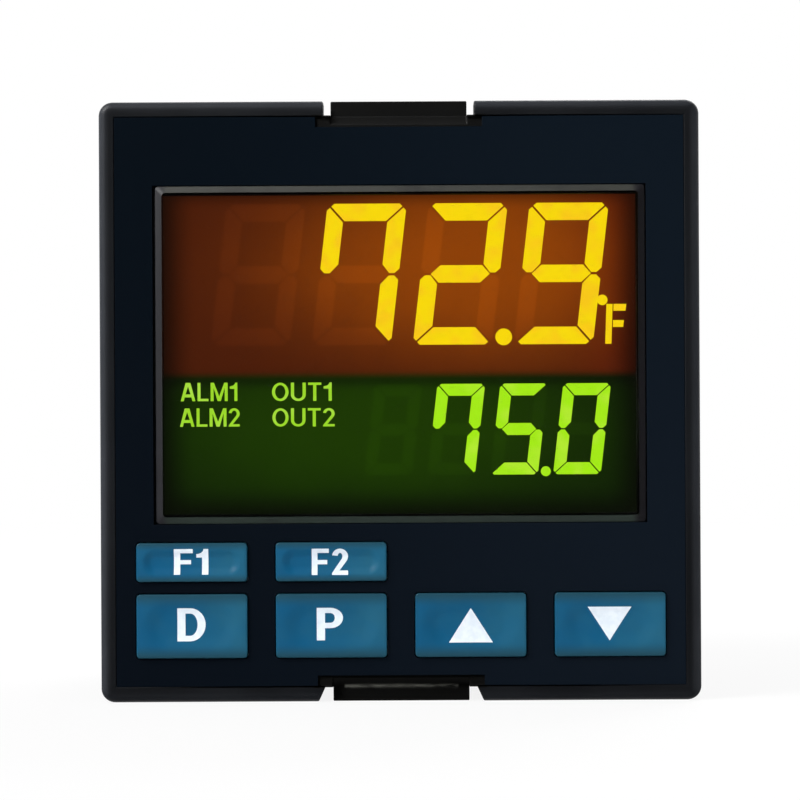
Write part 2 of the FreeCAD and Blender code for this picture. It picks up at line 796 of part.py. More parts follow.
def terminal_contacts(side):
    """Under each screw a tapped plate, with a blade that runs forward to the side board."""
    contacts = []
    blade_x = side * (output_face - blade_thick / 2)
    inner_x = side * (block_inner_x + block_wall + contact_gap)
    outer_x = side * (block_outer_x - contact_gap)
    half = (terminal_pitch - barrier_thick) / 2 - contact_gap
    for z in cell_places():
        pad = block(inner_x, outer_x, deck_y, clamp_y, z - half, z + half)
        blade = plate(blade_thick, blade_width, side_board_end - blade_reach, clamp_y - contact_thick / 2,
                      blade_x, z)
        hole = rod(terminal_screw_radius + thread_gap, (side * cell_x, deck_y - overcut, z), (0, 1, 0),
                   contact_thick + 2 * overcut)
        contacts.append(joined([pad, blade]).cut(hole))
    return Part.makeCompound(contacts)


def wire_clamps():
    """Square plates under the screw heads."""
    clamps = []
    hole_side = 2 * (terminal_screw_radius + thread_gap)
    for x in (-cell_x, cell_x):
        for z in cell_places():
            clamp = plate(clamp_side, clamp_side, clamp_y, head_y, x, z)
            clamps.append(clamp.cut(plate(hole_side, hole_side, clamp_y - overcut, head_y + overcut, x, z)))
    return Part.makeCompound(clamps)


def terminal_screws():
    screws = []
    top = head_y + terminal_head_height
    for x in (-cell_x, cell_x):
        for z in cell_places():
            head = rod(terminal_head_radius, (x, head_y, z), (0, 1, 0), terminal_head_height)
            shank = rod(terminal_screw_radius, (x, head_y - terminal_screw_length, z), (0, 1, 0),
                        terminal_screw_length)
            slot = plate(2 * (terminal_head_radius + overcut), driver_slot_width,
                         top - driver_slot_depth, top + overcut, x, z)
            screws.append(joined([head, shank]).cut(slot))
    return Part.makeCompound(screws)


def all_nodes():
    nodes = {
        "front_bezel": front_bezel(),
        "front_overlay": front_overlay(),
        "display_lens": display_lens(),
        "lcd_gasket": lcd_gasket(),
        "lcd_panel": lcd_panel(),
        "display_frame": display_frame(),
        "light_guide_upper": light_guide_upper(),
        "light_guide_lower": light_guide_lower(),
        "backlight_leds_upper": backlight_leds_upper(),
        "backlight_leds_lower": backlight_leds_lower(),
        "contact_strips": contact_strips(),
        "front_board": front_board(),
        "processor_chip": processor_chip(),
        "keypad_mat": keypad_mat(),
        "contact_pills": contact_pills(),
        "board_sockets": board_sockets(),
        "power_board": power_board(),
        "output_board": output_board(),
        "transformer_core": transformer_core(),
        "transformer_coil": transformer_coil(),
        "power_capacitors": power_capacitors(),
        "surge_varistor": surge_varistor(),
        "power_fuse": power_fuse(),
        "output_relays": output_relays(),
        "case_shell": case_shell(),
        "wire_clamps": wire_clamps(),
        "terminal_screws": terminal_screws(),
    }
    for name, column, small in keys:
        nodes["key_" + name] = key_cap(column, small)
    for word, side in (("left", -1), ("right", 1)):
        nodes["terminal_block_" + word] = terminal_block(side)
        nodes["terminal_contacts_" + word] = terminal_contacts(side)
    return nodes


os.makedirs("parts", exist_ok=True)
for name, shape in all_nodes().items():
    if not shape.isValid():
        raise RuntimeError(name + " is not a valid shape")
    print(name, len(shape.Solids), "solids", round(shape.Volume, 1), "mm3")
    shape.exportStep("parts/" + name + ".step")
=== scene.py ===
import math

import bmesh
import bpy
from mathutils import Matrix, Vector


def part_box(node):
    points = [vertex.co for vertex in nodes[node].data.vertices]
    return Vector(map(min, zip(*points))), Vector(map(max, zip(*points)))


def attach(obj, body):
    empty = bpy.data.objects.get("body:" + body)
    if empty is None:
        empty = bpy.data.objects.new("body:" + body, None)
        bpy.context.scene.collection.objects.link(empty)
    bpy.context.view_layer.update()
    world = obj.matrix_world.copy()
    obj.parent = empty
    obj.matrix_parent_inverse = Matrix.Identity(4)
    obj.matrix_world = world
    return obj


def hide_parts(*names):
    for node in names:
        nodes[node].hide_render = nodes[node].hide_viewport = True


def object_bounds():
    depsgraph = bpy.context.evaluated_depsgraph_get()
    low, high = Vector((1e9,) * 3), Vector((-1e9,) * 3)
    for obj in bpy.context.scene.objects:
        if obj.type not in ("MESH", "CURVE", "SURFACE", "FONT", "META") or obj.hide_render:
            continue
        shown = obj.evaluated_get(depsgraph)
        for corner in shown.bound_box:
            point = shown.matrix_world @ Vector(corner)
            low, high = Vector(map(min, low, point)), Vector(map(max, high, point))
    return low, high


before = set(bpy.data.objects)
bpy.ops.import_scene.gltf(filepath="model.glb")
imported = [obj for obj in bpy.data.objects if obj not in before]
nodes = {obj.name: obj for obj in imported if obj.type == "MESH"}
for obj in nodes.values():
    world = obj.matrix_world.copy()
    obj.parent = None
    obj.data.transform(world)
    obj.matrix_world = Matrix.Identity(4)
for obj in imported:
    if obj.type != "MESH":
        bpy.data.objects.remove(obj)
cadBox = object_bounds()
scene = bpy.context.scene
mm = 0.001
glassLow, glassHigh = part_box("display_lens")
print("frame loaded with", len(nodes), "nodes")


class Wire:
    # a node's output, so that sums on it read as sums
    def __init__(self, tree, socket):
        self.tree = tree
        self.socket = socket

    def calc(self, operation, *values):
        return self.tree.node("ShaderNodeMath", {"operation": operation}, dict(enumerate(values)))

    def __add__(self, other):
        return self.calc("ADD", self, other)

    def __radd__(self, other):
        return self.calc("ADD", other, self)

    def __sub__(self, other):
        return self.calc("SUBTRACT", self, other)

    def __rsub__(self, other):
        return self.calc("SUBTRACT", other, self)

    def __mul__(self, other):
        return self.calc("MULTIPLY", self, other)

    def __rmul__(self, other):
        return self.calc("MULTIPLY", other, self)

    def __truediv__(self, other):
        return self.calc("DIVIDE", self, other)

    def __rpow__(self, other):
        return self.calc("POWER", other, self)

    def __abs__(self):
        return self.calc("ABSOLUTE", self)

    def most(self, other):
        return self.calc("MAXIMUM", self, other)

    def part(self):
        # what is left after the whole number
        return self.calc("FRACT", self)

    def step(self, low, high):
        # 0 below low, 1 above high, smooth between
        smooth = {"interpolation_type": "SMOOTHSTEP"}
        values = {"Value": self, "From Min": low, "From Max": high}
        return self.tree.node("ShaderNodeMapRange", smooth, values)

    def near(self, centre, reach):
        # a bell, 1 at the centre and falling over the reach
        away = (self - centre) / reach
        return math.e ** (0 - away * away)


def paint(red, green, blue):
    # display values from 0 to 255, as the light values that nodes take
    def light(value):
        value = value / 255
        return value / 12.92 if value < 0.04045 else ((value + 0.055) / 1.055) ** 2.4
    return (light(red), light(green), light(blue), 1)


class Tree:
    # the nodes of one material or of the world
    def __init__(self, owner):
        owner.use_nodes = True
        self.owner = owner
        self.tree = owner.node_tree
        self.tree.nodes.clear()

    def node(self, kind, settings, inputs, output=0):
        made = self.tree.nodes.new(kind)
        for name, value in settings.items():
            setattr(made, name, value)
        for name, value in inputs.items():
            self.feed(made.inputs[name], value)
        return Wire(self, made.outputs[output]) if len(made.outputs) else made

    def feed(self, socket, value):
        if isinstance(value, Wire):
            self.tree.links.new(value.socket, socket)
        else:
            socket.default_value = value

    def ray(self, kind):
        # 1 for one kind of ray, such as Camera, and 0 for the others
        return self.node("ShaderNodeLightPath", {}, {}, "Is " + kind + " Ray")


class Finish(Tree):
    # one material, built round a Principled shader
    def __init__(self, name, **fixed):
        super().__init__(bpy.data.materials.new(name))
        surface = self.node("ShaderNodeBsdfPrincipled", {}, {})
        self.shader = surface.socket.node
        self.output = self.node("ShaderNodeOutputMaterial", {}, {"Surface": surface})
        self.place = self.node("ShaderNodeTexCoord", {}, {}, "Object")
        self.set(fixed)

    def set(self, values):
        # keys are the shader's sockets in camelCase, such as baseColor
        for name, value in values.items():
            words = "".join(" " + c if c.isupper() else c for c in name).title()
            self.feed(self.shader.inputs[words.replace("Ior", "IOR")], value)

    def axis(self, letter):
        return self.node("ShaderNodeSeparateXYZ", {}, {0: self.place}, letter)

    def noise(self, size, detail=2, stretch=(1, 1, 1)):
        # cloudy value from 0 to 1, with blobs of the size given in metres
        place = self.node("ShaderNodeMapping", {}, {"Vector": self.place, "Scale": stretch})
        return self.node("ShaderNodeTexNoise", {}, {"Vector": place, "Scale": 1 / size, "Detail": detail})

    def cells(self, size):
        return self.node("ShaderNodeTexVoronoi", {}, {"Vector": self.place, "Scale": 1 / size}, "Distance")

    def blend(self, first, second, amount):
        settings = {"data_type": "RGBA", "clamp_factor": True}
        return self.node("ShaderNodeMix", settings, {0: amount, 6: first, 7: second}, 2)

    def bump(self, height, depth):
        return self.node("ShaderNodeBump", {}, {"Height": height, "Distance": depth, "Strength": 1.0})


# besides the moulding's own shades: a painted highlight for the rim, painted shade for the tongues, a painted
# highlight line
mouldedBlack = {"shade": paint(9, 12, 17), "worn": paint(17, 20, 25), "rimHighlight": paint(46, 49, 55),
                "tongue": paint(3, 3, 2), "glint": paint(82, 82, 76), "grain": 0.22 * mm,
                "grainDepth": 0.012 * mm, "gloss": 0.46, "rim": 1.9 * mm, "lowRim": 0.4, "highRim": 0.8,
                "patch": 6 * mm, "tongueHalf": 11.1 * mm, "tongueFrom": 44.9 * mm, "notchHalf": 13.8 * mm,
                "notch": (43.5 * mm, 45.7 * mm), "glintAt": -45.6 * mm, "glintReach": 0.28 * mm,
                "glintHalf": 9 * mm, "glintPatch": 3 * mm, "blur": 0.2 * mm}
caseGrey = {"shade": paint(26, 27, 29), "worn": paint(38, 39, 42), "grain": 0.3 * mm,
            "grainDepth": 0.02 * mm, "gloss": 0.5}
blockGrey = {"shade": paint(20, 21, 22), "worn": paint(30, 31, 33), "grain": 0.35 * mm,
             "grainDepth": 0.01 * mm, "gloss": 0.36}
# slow changes of shade and gloss over any moulding
mouldFlow = {"size": 14 * mm, "stretch": (1, 1, 0.35), "worn": (0.35, 0.8), "gloss": 0.12, "grainGloss": 0.08}


def mouldedPlastic(name, settings):
    # spark-eroded mould texture: small cells of even height, with a slow change of gloss over them
    f = Finish(name, specularIorLevel=0.42)
    grain = f.cells(settings["grain"]) + 0.5 * f.noise(settings["grain"] * 0.6, 3)
    flow = f.noise(mouldFlow["size"], 3, mouldFlow["stretch"])
    f.shade = f.blend(settings["shade"], settings["worn"], flow.step(*mouldFlow["worn"]))
    gloss = settings["gloss"] + mouldFlow["gloss"] * (flow - 0.5)
    f.set({"baseColor": f.shade,
           "roughness": gloss + mouldFlow["grainGloss"] * grain,
           "normal": f.bump(grain, settings["grainDepth"])})
    return f


def bezelPlastic():
    # the same moulding, with a painted highlight along its outer rim, painted shade on the two recessed latch
    # tongues and the notches beside them, and a painted highlight line along the lower tongue
    s = mouldedBlack
    f = mouldedPlastic("bezelPlastic", s)
    x = abs(f.axis("X"))
    upright = f.axis("Z")
    z = abs(upright)
    edge = cadBox[1].x

    def within(value, half):
        return 1 - value.step(half, half + s["blur"])

    def beyond(value, start):
        return value.step(start, start + s["blur"])

    # painted highlight along the outer rim, where light falls on its rounded edge, stronger towards the top
    height = s["lowRim"] + (s["highRim"] - s["lowRim"]) * upright.step(-edge / 2, edge / 2)
    rim = x.step(edge - s["rim"], edge).most(height * z.step(edge - s["rim"], edge))
    rimHighlight = f.blend(f.shade, s["rimHighlight"], rim * (0.75 + 0.5 * f.noise(s["patch"], 3)))
    # painted shade on the recessed tongues and the notches beside them
    tongue = beyond(z, s["tongueFrom"]) * within(x, s["tongueHalf"])
    notch = beyond(z, s["notch"][0]) * within(z, s["notch"][1]) * within(x, s["notchHalf"])
    dark = f.blend(rimHighlight, s["tongue"], tongue.most(notch))
    # painted highlight line on the edge at the lower tongue, broken into spots
    glint = upright.near(s["glintAt"], s["glintReach"]) * within(x, s["glintHalf"])
    broken = f.noise(s["glintPatch"], 2, (1, 1, 4)).step(0.3, 0.7)
    f.set({"baseColor": f.blend(dark, s["glint"], glint * broken)})
    return f


# the film's colours, with painted light: paler at the right and at the bottom
overlayPrintAndShade = {"upper": paint(0, 9, 19), "lower": paint(6, 13, 23), "right": paint(14, 25, 36),
                "left": paint(0, 8, 18), "grain": 0.09 * mm, "cloud": 9 * mm, "half": 46 * mm,
                "heights": (-40 * mm, 44 * mm)}


def overlayFilm():
    # dark polyester film, printed from behind, with the fine emboss of its matt coat; painted light makes it
    # paler towards the right and the bottom
    f = Finish("overlayFilm", specularIorLevel=0.1)
    s = overlayPrintAndShade
    # painted light: paler towards the right, and towards the bottom
    sideLight = f.blend(s["left"], s["right"], f.axis("X").step(-s["half"], s["half"]))
    upright = f.blend(s["lower"], s["upper"], f.axis("Z").step(*s["heights"]))
    grain = f.noise(s["grain"])
    f.set({"baseColor": f.blend(sideLight, upright, 0.5),
           "roughness": 0.42 + 0.1 * grain + 0.05 * f.noise(s["cloud"]),
           "normal": f.bump(grain, 0.004 * mm)})
    return f


display = {"divider": 30.25 * mm, "blur": 0.8 * mm, "border": 1.67 * mm, "cell": paint(6, 7, 6),
           "amber": (paint(74, 28, 8), paint(144, 66, 6)), "amberSide": paint(96, 26, 7),
           "green": (paint(15, 31, 4), paint(29, 57, 2)), "unlit": paint(6, 6, 3),
           "upperGlow": ((14 * mm, 34 * mm), (22 * mm, 16 * mm)),  # middle and reach, across and up
           "lowerGlow": ((-4 * mm, 40 * mm), (-4 * mm, 14 * mm)), "redSide": (22 * mm, 40 * mm),
           "cloud": 7 * mm, "least": 0.14, "sideFade": (-1.04 * mm, 5.2 * mm),
           "topFade": (-2.08 * mm, 2.08 * mm), "lowFade": (-1.04 * mm, 4.68 * mm), "barFade": 1.1 * mm}


def displayField(name, gain=1.0):
    # the unlit part of the cell: two lamps behind it, each brightest near its middle and fading outwards
    f = Finish(name, roughness=0.25, specularIorLevel=0.2, baseColor=display["cell"])
    x = f.axis("X")
    z = f.axis("Z")
    d = display
    divider = glassHigh.z - d["divider"]
    uneven = f.noise(d["cloud"]) * 0.3 + 0.85

    def glow(across, upwards):
        return x.near(*across) * z.near(*upwards) * uneven

    amber = f.blend(*d["amber"], glow(*d["upperGlow"]).step(0.02, 1.0))
    redder = f.blend(amber, d["amberSide"], x.step(*d["redSide"]) * 0.65)
    green = f.blend(*d["green"], glow(*d["lowerGlow"]).step(0.05, 1.0))
    field = f.blend(green, redder, z.step(divider - d["blur"], divider + d["blur"]))
    side = glassHigh.x - d["border"] - abs(x)
    top = glassHigh.z - d["border"] - z
    low = z - (glassLow.z + d["border"])
    rim = side.step(*d["sideFade"]) * top.step(*d["topFade"]) * low.step(*d["lowFade"])
    between = 1 - 0.5 * z.near(divider - d["blur"], d["barFade"])
    lit = (d["least"] + (1 - d["least"]) * rim) * between
    f.set({"emissionColor": f.blend(d["unlit"], field, lit),
           "emissionStrength": gain})
    return f


def lamp(name, core, edge, strength=1.0):
    # lit segment: a little uneven, as the light behind it is
    f = Finish(name, roughness=0.4, specularIorLevel=0.2, baseColor=paint(20, 20, 12),
               emissionStrength=strength)
    f.set({"emissionColor": f.blend(edge, core, f.noise(3 * mm, 1).step(0.25, 0.6))})
    return f


def clearPlastic(name, tint, gloss=0.02):
    f = Finish(name, transmissionWeight=1.0, ior=1.49, baseColor=tint)
    f.set({"roughness": gloss + 0.02 * f.noise(12 * mm)})
    return f


# the sides' colours are painted light and shade: lit at the top, shaded at the bottom, left and right
frosted = {"top": paint(55, 56, 52), "bottom": paint(43, 54, 48), "left": paint(35, 35, 39),
           "right": paint(26, 25, 29), "band": 2.4 * mm, "dirt": 5 * mm, "grain": 0.4 * mm,
           "scratch": 0.12 * mm}


def groundEdge():
    # sawn and chamfered edge of the window, frosted, with painted light and shade: lightest at the top,
    # darkest at the right end, and random darker patches of dirt
    f = Finish("frostedEdge", specularIorLevel=0.5)
    x = f.axis("X")
    z = f.axis("Z")
    band = frosted["band"]
    middle = (glassLow.z + glassHigh.z) / 2
    leftEnd = 1 - x.step(glassLow.x + band / 2, glassLow.x + band)
    rightEnd = x.step(glassHigh.x - band, glassHigh.x - band / 2)
    # painted light and shade: lightest along the top, darker at the bottom and the left end, darkest at the
    # right end
    shade = f.blend(frosted["bottom"], frosted["top"], z.step(middle, glassHigh.z))
    shade = f.blend(shade, frosted["left"], leftEnd)
    shade = f.blend(shade, frosted["right"], rightEnd)
    dirt = f.noise(frosted["dirt"], 3).step(0.45, 0.9)
    f.set({"baseColor": f.blend(shade, frosted["right"], dirt * 0.6),
           "roughness": 0.38 + 0.2 * f.noise(frosted["grain"], 3),
           "normal": f.bump(f.noise(frosted["scratch"], 3, (1, 1, 0.3)), 0.006 * mm)})
    return f


# the share that pales each cap towards its right end is painted light
keyPaint = {"cap": paint(30, 92, 116), "deep": paint(2, 80, 117), "edge": paint(26, 68, 84),
            "fade": (0.27, 0.5), "sideFade": (0.42, 0.5), "sideShare": 0.5, "cloud": 4 * mm,
            "cloudShare": 0.25, "rightLight": 0.6, "grain": 0.12 * mm}


def keyRubber():
    # tinted silicone with a soft satin skin, greyer towards the top and bottom of each cap; painted light
    # makes it paler towards its right end
    f = Finish("keyRubber", specularIorLevel=0.22)
    s = keyPaint
    cloud = f.noise(s["cloud"], 3)
    share = f.node("ShaderNodeAttribute", {"attribute_name": "capShare"}, {}, "Vector")
    along = f.node("ShaderNodeSeparateXYZ", {}, {0: share}, "X")
    up = f.node("ShaderNodeSeparateXYZ", {}, {0: share}, "Z")
    sides = s["sideShare"] * abs(along - 0.5).step(*s["sideFade"])
    edge = abs(up - 0.5).step(*s["fade"]).most(sides)
    # random paler blotches, and painted light that pales the cap towards its right end
    blotchesAndLight = s["cloudShare"] * cloud.step(0.35, 0.75) + s["rightLight"] * along.step(0.3, 1.0)
    cap = f.blend(s["deep"], s["cap"], blotchesAndLight)
    f.set({"baseColor": f.blend(cap, s["edge"], edge),
           "roughness": 0.36 + 0.12 * cloud,
           "normal": f.bump(f.noise(s["grain"]), 0.004 * mm)})
    return f


def plainFinish(name, first, second, size, gloss, depth, specular):
    # two close shades over a real grain size, with the same grain in its gloss and relief
    f = Finish(name, specularIorLevel=specular)
    grain = f.noise(size)
    f.set({"baseColor": f.blend(first, second, grain.step(0.3, 0.7)),
           "roughness": gloss + 0.14 * (grain - 0.5),
           "normal": f.bump(grain, depth)})
    return f


# tracks: their pitch, and how far each runs before it steps aside
board = {"mask": paint(14, 62, 34), "copper": paint(30, 98, 52), "lengthwise": (1.9 * mm, 11 * mm),
         "crosswise": (2.7 * mm, 17 * mm), "aside": 0.37, "raised": 0.03 * mm}


def circuitBoard():
    # solder mask over copper: tracks along both axes of the board, a little raised
    f = Finish("circuitBoard", specularIorLevel=0.5)
    along = f.axis("Y") + f.axis("X")
    z = f.axis("Z")

    def tracks(value, other, pitch, run):
        turn = other / run
        lane = (value / pitch + board["aside"] * turn.calc("FLOOR", turn)).part()
        return lane.step(0.42, 0.5) * (1 - lane.step(0.72, 0.8))

    both = tracks(z, along, *board["lengthwise"]).most(0.8 * tracks(along, z, *board["crosswise"]))
    f.set({"baseColor": f.blend(board["mask"], board["copper"], both),
           "roughness": 0.32 + 0.1 * f.noise(2 * mm),
           "normal": f.bump(both, board["raised"])})
    return f


sheets = {"gap": paint(40, 40, 44), "steel": paint(120, 120, 126), "pitch": 0.5 * mm}


def laminations():
    # edges of the stamped steel sheets of the transformer
    f = Finish("laminations", metallic=0.85)
    groove = (f.axis("Y") / sheets["pitch"]).part()
    line = groove.step(0.0, 0.18) * (1 - groove.step(0.82, 1.0))
    f.set({"baseColor": f.blend(sheets["gap"], sheets["steel"], line * f.noise(3 * mm, 3)),
           "roughness": 0.42 + 0.25 * f.noise(0.8 * mm, 3),
           "normal": f.bump(line, 0.05 * mm)})
    return f


tape = {"lap": paint(120, 84, 18), "shade": paint(206, 168, 46), "pitch": 6 * mm, "lean": 0.35}


def windingTape():
    # polyester tape wound over the coil, each turn lapped on the last
    f = Finish("windingTape", specularIorLevel=0.5)
    wrap = ((f.axis("Y") + tape["lean"] * f.axis("Z")) / tape["pitch"]).part()
    edge = wrap.step(0.0, 0.03) * (1 - wrap.step(0.97, 1.0))
    f.set({"baseColor": f.blend(tape["lap"], tape["shade"], edge * (0.6 + 0.4 * f.noise(4 * mm))),
           "roughness": 0.22 + 0.2 * f.noise(5 * mm),
           "normal": f.bump(edge, 0.05 * mm)})
    return f


def platedSteel(name, first, second, gloss):
    # bright plating with fine turning marks and a few dull spots
    f = Finish(name, metallic=1.0)
    marks = f.noise(0.16 * mm, 3, (1, 0.12, 1))
    spots = f.noise(1.6 * mm, 4)
    f.set({"baseColor": f.blend(first, second, spots.step(0.3, 0.75)),
           "roughness": gloss + 0.12 * marks + 0.16 * spots,
           "normal": f.bump(marks, 0.006 * mm)})
    return f


layers = {"plain": paint(200, 150, 140), "carbon": paint(24, 24, 26), "pitch": 0.25 * mm}


def zebraStrip():
    # layers of plain and conducting rubber
    f = Finish("zebraStrip", specularIorLevel=0.3)
    stripe = (f.axis("X") / layers["pitch"]).part()
    f.set({"baseColor": f.blend(layers["plain"], layers["carbon"], stripe.step(0.45, 0.55)),
           "roughness": 0.55 + 0.1 * f.noise(2 * mm)})
    return f


bezelFinish = bezelPlastic()
filmFinish = overlayFilm()
caseFinish = mouldedPlastic("casePlastic", caseGrey)
blockFinish = mouldedPlastic("blockPlastic", blockGrey)
boardFinish = circuitBoard()
contactFinish = platedSteel("contactMetal", paint(184, 164, 116), paint(208, 192, 148), 0.3)
clampFinish = platedSteel("clampMetal", paint(170, 172, 174), paint(204, 205, 206), 0.3)
screwFinish = platedSteel("screwMetal", paint(186, 187, 190), paint(216, 217, 219), 0.22)
guideFinish = clearPlastic("lightGuide", paint(240, 244, 246), 0.25)
# the nodes that stay as they are; pieces made further down replace the others
finishes = {
    "lcd_panel": displayField("displayField"),
    "light_guide_upper": guideFinish,
    "light_guide_lower": guideFinish,
    "backlight_leds_upper": lamp("amberLamp", paint(255, 190, 60), paint(240, 150, 40), 0.6),
    "backlight_leds_lower": lamp("greenLamp", paint(170, 240, 70), paint(130, 220, 60), 0.5),
    "contact_strips": zebraStrip(),
    "front_board": boardFinish,
    "power_board": boardFinish,
    "output_board": boardFinish,
    "transformer_core": laminations(),
    "transformer_coil": windingTape(),
}
# node: its finish, two shades, grain in mm, roughness, relief in mm, and how much it mirrors
plainOnes = {
    "lcd_gasket": ("foam", (14, 14, 15), (24, 24, 26), 0.25, 0.9, 0.05, 0.2),
    "display_frame": ("whiteFrame", (222, 222, 216), (236, 236, 231), 6, 0.45, 0.004, 0.5),
    "processor_chip": ("chipResin", (22, 22, 24), (34, 34, 37), 0.15, 0.55, 0.008, 0.5),
    "keypad_mat": ("silicone", (150, 154, 158), (164, 168, 172), 2, 0.5, 0.01, 0.35),
    "contact_pills": ("carbonPill", (16, 16, 17), (26, 26, 28), 0.3, 0.7, 0.01, 0.5),
    "board_sockets": ("socketNylon", (30, 30, 31), (42, 42, 44), 0.5, 0.45, 0.006, 0.5),
    "power_capacitors": ("capSleeve", (20, 26, 48), (30, 38, 66), 5, 0.28, 0.01, 0.5),
    "surge_varistor": ("varistorCoat", (24, 78, 140), (34, 96, 160), 1.2, 0.35, 0.03, 0.5),
    "power_fuse": ("fuseBody", (128, 82, 48), (150, 100, 62), 2, 0.4, 0.01, 0.5),
    "output_relays": ("relayCase", (34, 58, 118), (44, 70, 134), 5, 0.35, 0.004, 0.5),
}
for node, (name, first, second, grain, gloss, relief, mirrors) in plainOnes.items():
    finishes[node] = plainFinish(name, paint(*first), paint(*second), grain * mm, gloss, relief * mm, mirrors)
for node, finish in finishes.items():
    nodes[node].data.materials.clear()
    nodes[node].data.materials.append(finish.owner)
print("finishes on the frame's nodes")


meshing = {"crease": math.radians(35), "sharp": math.radians(30), "flat": math.radians(0.5),
           "weld": 0.002 * mm}


def meshFrom(bm, name):
    # a mesh from a bmesh, which is used up
    mesh = bpy.data.meshes.new(name)
    bm.to_mesh(mesh)
    bm.free()
    return mesh


def addObject(name, data):
    made = bpy.data.objects.new(name, data)
    scene.collection.objects.link(made)
    return made


def joinTo(whole, bm):
    # adds one bmesh to another
    mesh = meshFrom(bm, "joined")
    whole.from_mesh(mesh)
    bpy.data.meshes.remove(mesh)


def thicken(bm, faces, depth):
    # pushes flat faces back, which makes a thin solid of them
    pushed = bmesh.ops.extrude_face_region(bm, geom=faces)
    verts = [item for item in pushed["geom"] if isinstance(item, bmesh.types.BMVert)]
    bmesh.ops.translate(bm, verts=verts, vec=(0, depth, 0))


def keepPiece(name, bm, finish, replaced=(), body="controller"):
    # turns a bmesh into a piece that rides a body, smooth except at its sharp edges
    bmesh.ops.recalc_face_normals(bm, faces=bm.faces)
    mesh = meshFrom(bm, name)
    for face in mesh.polygons:
        face.use_smooth = True
    mesh.set_sharp_from_angle(angle=meshing["crease"])
    mesh.materials.append(finish.owner)
    piece = addObject(name, mesh)
    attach(piece, body)
    if replaced:
        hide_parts(*replaced)
    return piece


def wholeMesh(node):
    # a copy of a node's mesh with its loose triangles joined and its flats made whole
    bm = bmesh.new()
    bm.from_mesh(nodes[node].data)
    bmesh.ops.remove_doubles(bm, verts=bm.verts, dist=meshing["weld"])
    bmesh.ops.dissolve_limit(bm, angle_limit=meshing["flat"], verts=bm.verts, edges=bm.edges)
    bmesh.ops.connect_verts_concave(bm, faces=bm.faces)
    return bm


def softenEdges(bm, radius):
    # rounds the sharp edges a little, as a mould or a press leaves them, and stays inside the object's box
    edges = [e for e in bm.edges if e.is_manifold and e.calc_face_angle() > meshing["sharp"]]
    bmesh.ops.bevel(bm, geom=edges, offset=radius, offset_type="OFFSET", segments=2, profile=0.5,
                    affect="EDGES", clamp_overlap=False, material=-1)
    for v in bm.verts:
        v.co = Vector(min(max(value, lowest), highest) for value, lowest, highest in zip(v.co, *cadBox))


def partBoxes(bm):
    # the lowest and highest corner of each separate part of a mesh
    left = set(bm.verts)
    boxes = []
    while left:
        found = [left.pop()]
        for vert in found:
            near = {edge.other_vert(vert) for edge in vert.link_edges} & left
            left -= near
            found.extend(near)
        boxes.append([Vector(pick(v.co[i] for v in found) for i in range(3)) for pick in (min, max)])
    return sorted(boxes, key=lambda box: (box[0].x, -box[0].z))


def stackRings(bm, rings, x, z, cornerSteps):
    # a solid made of rounded rectangles, one behind the other; each ring is (width, height, corner, y)
    count = 4 * (cornerSteps + 1)
    bmesh.ops.create_circle(bm, cap_ends=True, radius=1, segments=count)
    bm.faces.ensure_lookup_table()
    face = bm.faces[-1]
    first = face
    for number, (width, height, corner, y) in enumerate(rings):
        corners = [loop.vert for loop in face.loops]
        if number:
            old = corners[0].co.copy()
            made = bmesh.ops.extrude_face_region(bm, geom=[face])
            if face is not first:
                bmesh.ops.delete(bm, geom=[face], context="FACES_ONLY")
            face = [item for item in made["geom"] if isinstance(item, bmesh.types.BMFace)][0]
            corners = [loop.vert for loop in face.loops]
            start = min(range(count), key=lambda i: (corners[i].co - old).length)
            corners = corners[start:] + corners[:start]
        for i, vert in enumerate(corners):
            quarter, step = divmod(i, cornerSteps + 1)
            turn = math.pi / 2 * (quarter + step / cornerSteps)
            middleX = x + (width / 2 - corner) * (1, -1, -1, 1)[quarter]
            middleZ = z + (height / 2 - corner) * (1, 1, -1, -1)[quarter]
            vert.co = Vector((middleX + corner * math.cos(turn), y, middleZ + corner * math.sin(turn)))
    return first, face


def rounded(steps, reach):
    # how far in and how far back each step of a rounded edge lies
    turns = [math.pi / 2 * i / steps for i in range(steps + 1)]
    return [(reach * (1 - math.cos(t)), reach * (1 - math.sin(t))) for t in turns]


# node: the piece that takes its place, its slot, how far its edges are rounded, its finish
softened = {"front_bezel": ("frontMoulding", "bezel", 0.16 * mm, bezelFinish),
            "front_overlay": ("frontFilm", "overlay", 0.07 * mm, filmFinish),
            "case_shell": ("caseMoulding", "case", 0.3 * mm, caseFinish),
            "terminal_block_left": ("leftBlock", "terminal_plastic", 0.2 * mm, blockFinish),
            "terminal_block_right": ("rightBlock", "terminal_plastic", 0.2 * mm, blockFinish),
            "terminal_contacts_left": ("leftContacts", "contact_metal", 0.08 * mm, contactFinish),
            "terminal_contacts_right": ("rightContacts", "contact_metal", 0.08 * mm, contactFinish),
            "wire_clamps": ("clampPlates", "clamp_metal", 0.12 * mm, clampFinish)}
filmFit = {"growth": 0.06 * mm, "margin": 0.3 * mm}
slots = {"root": 12.12 * mm, "mouth": 13.3 * mm, "from": 45.58 * mm}

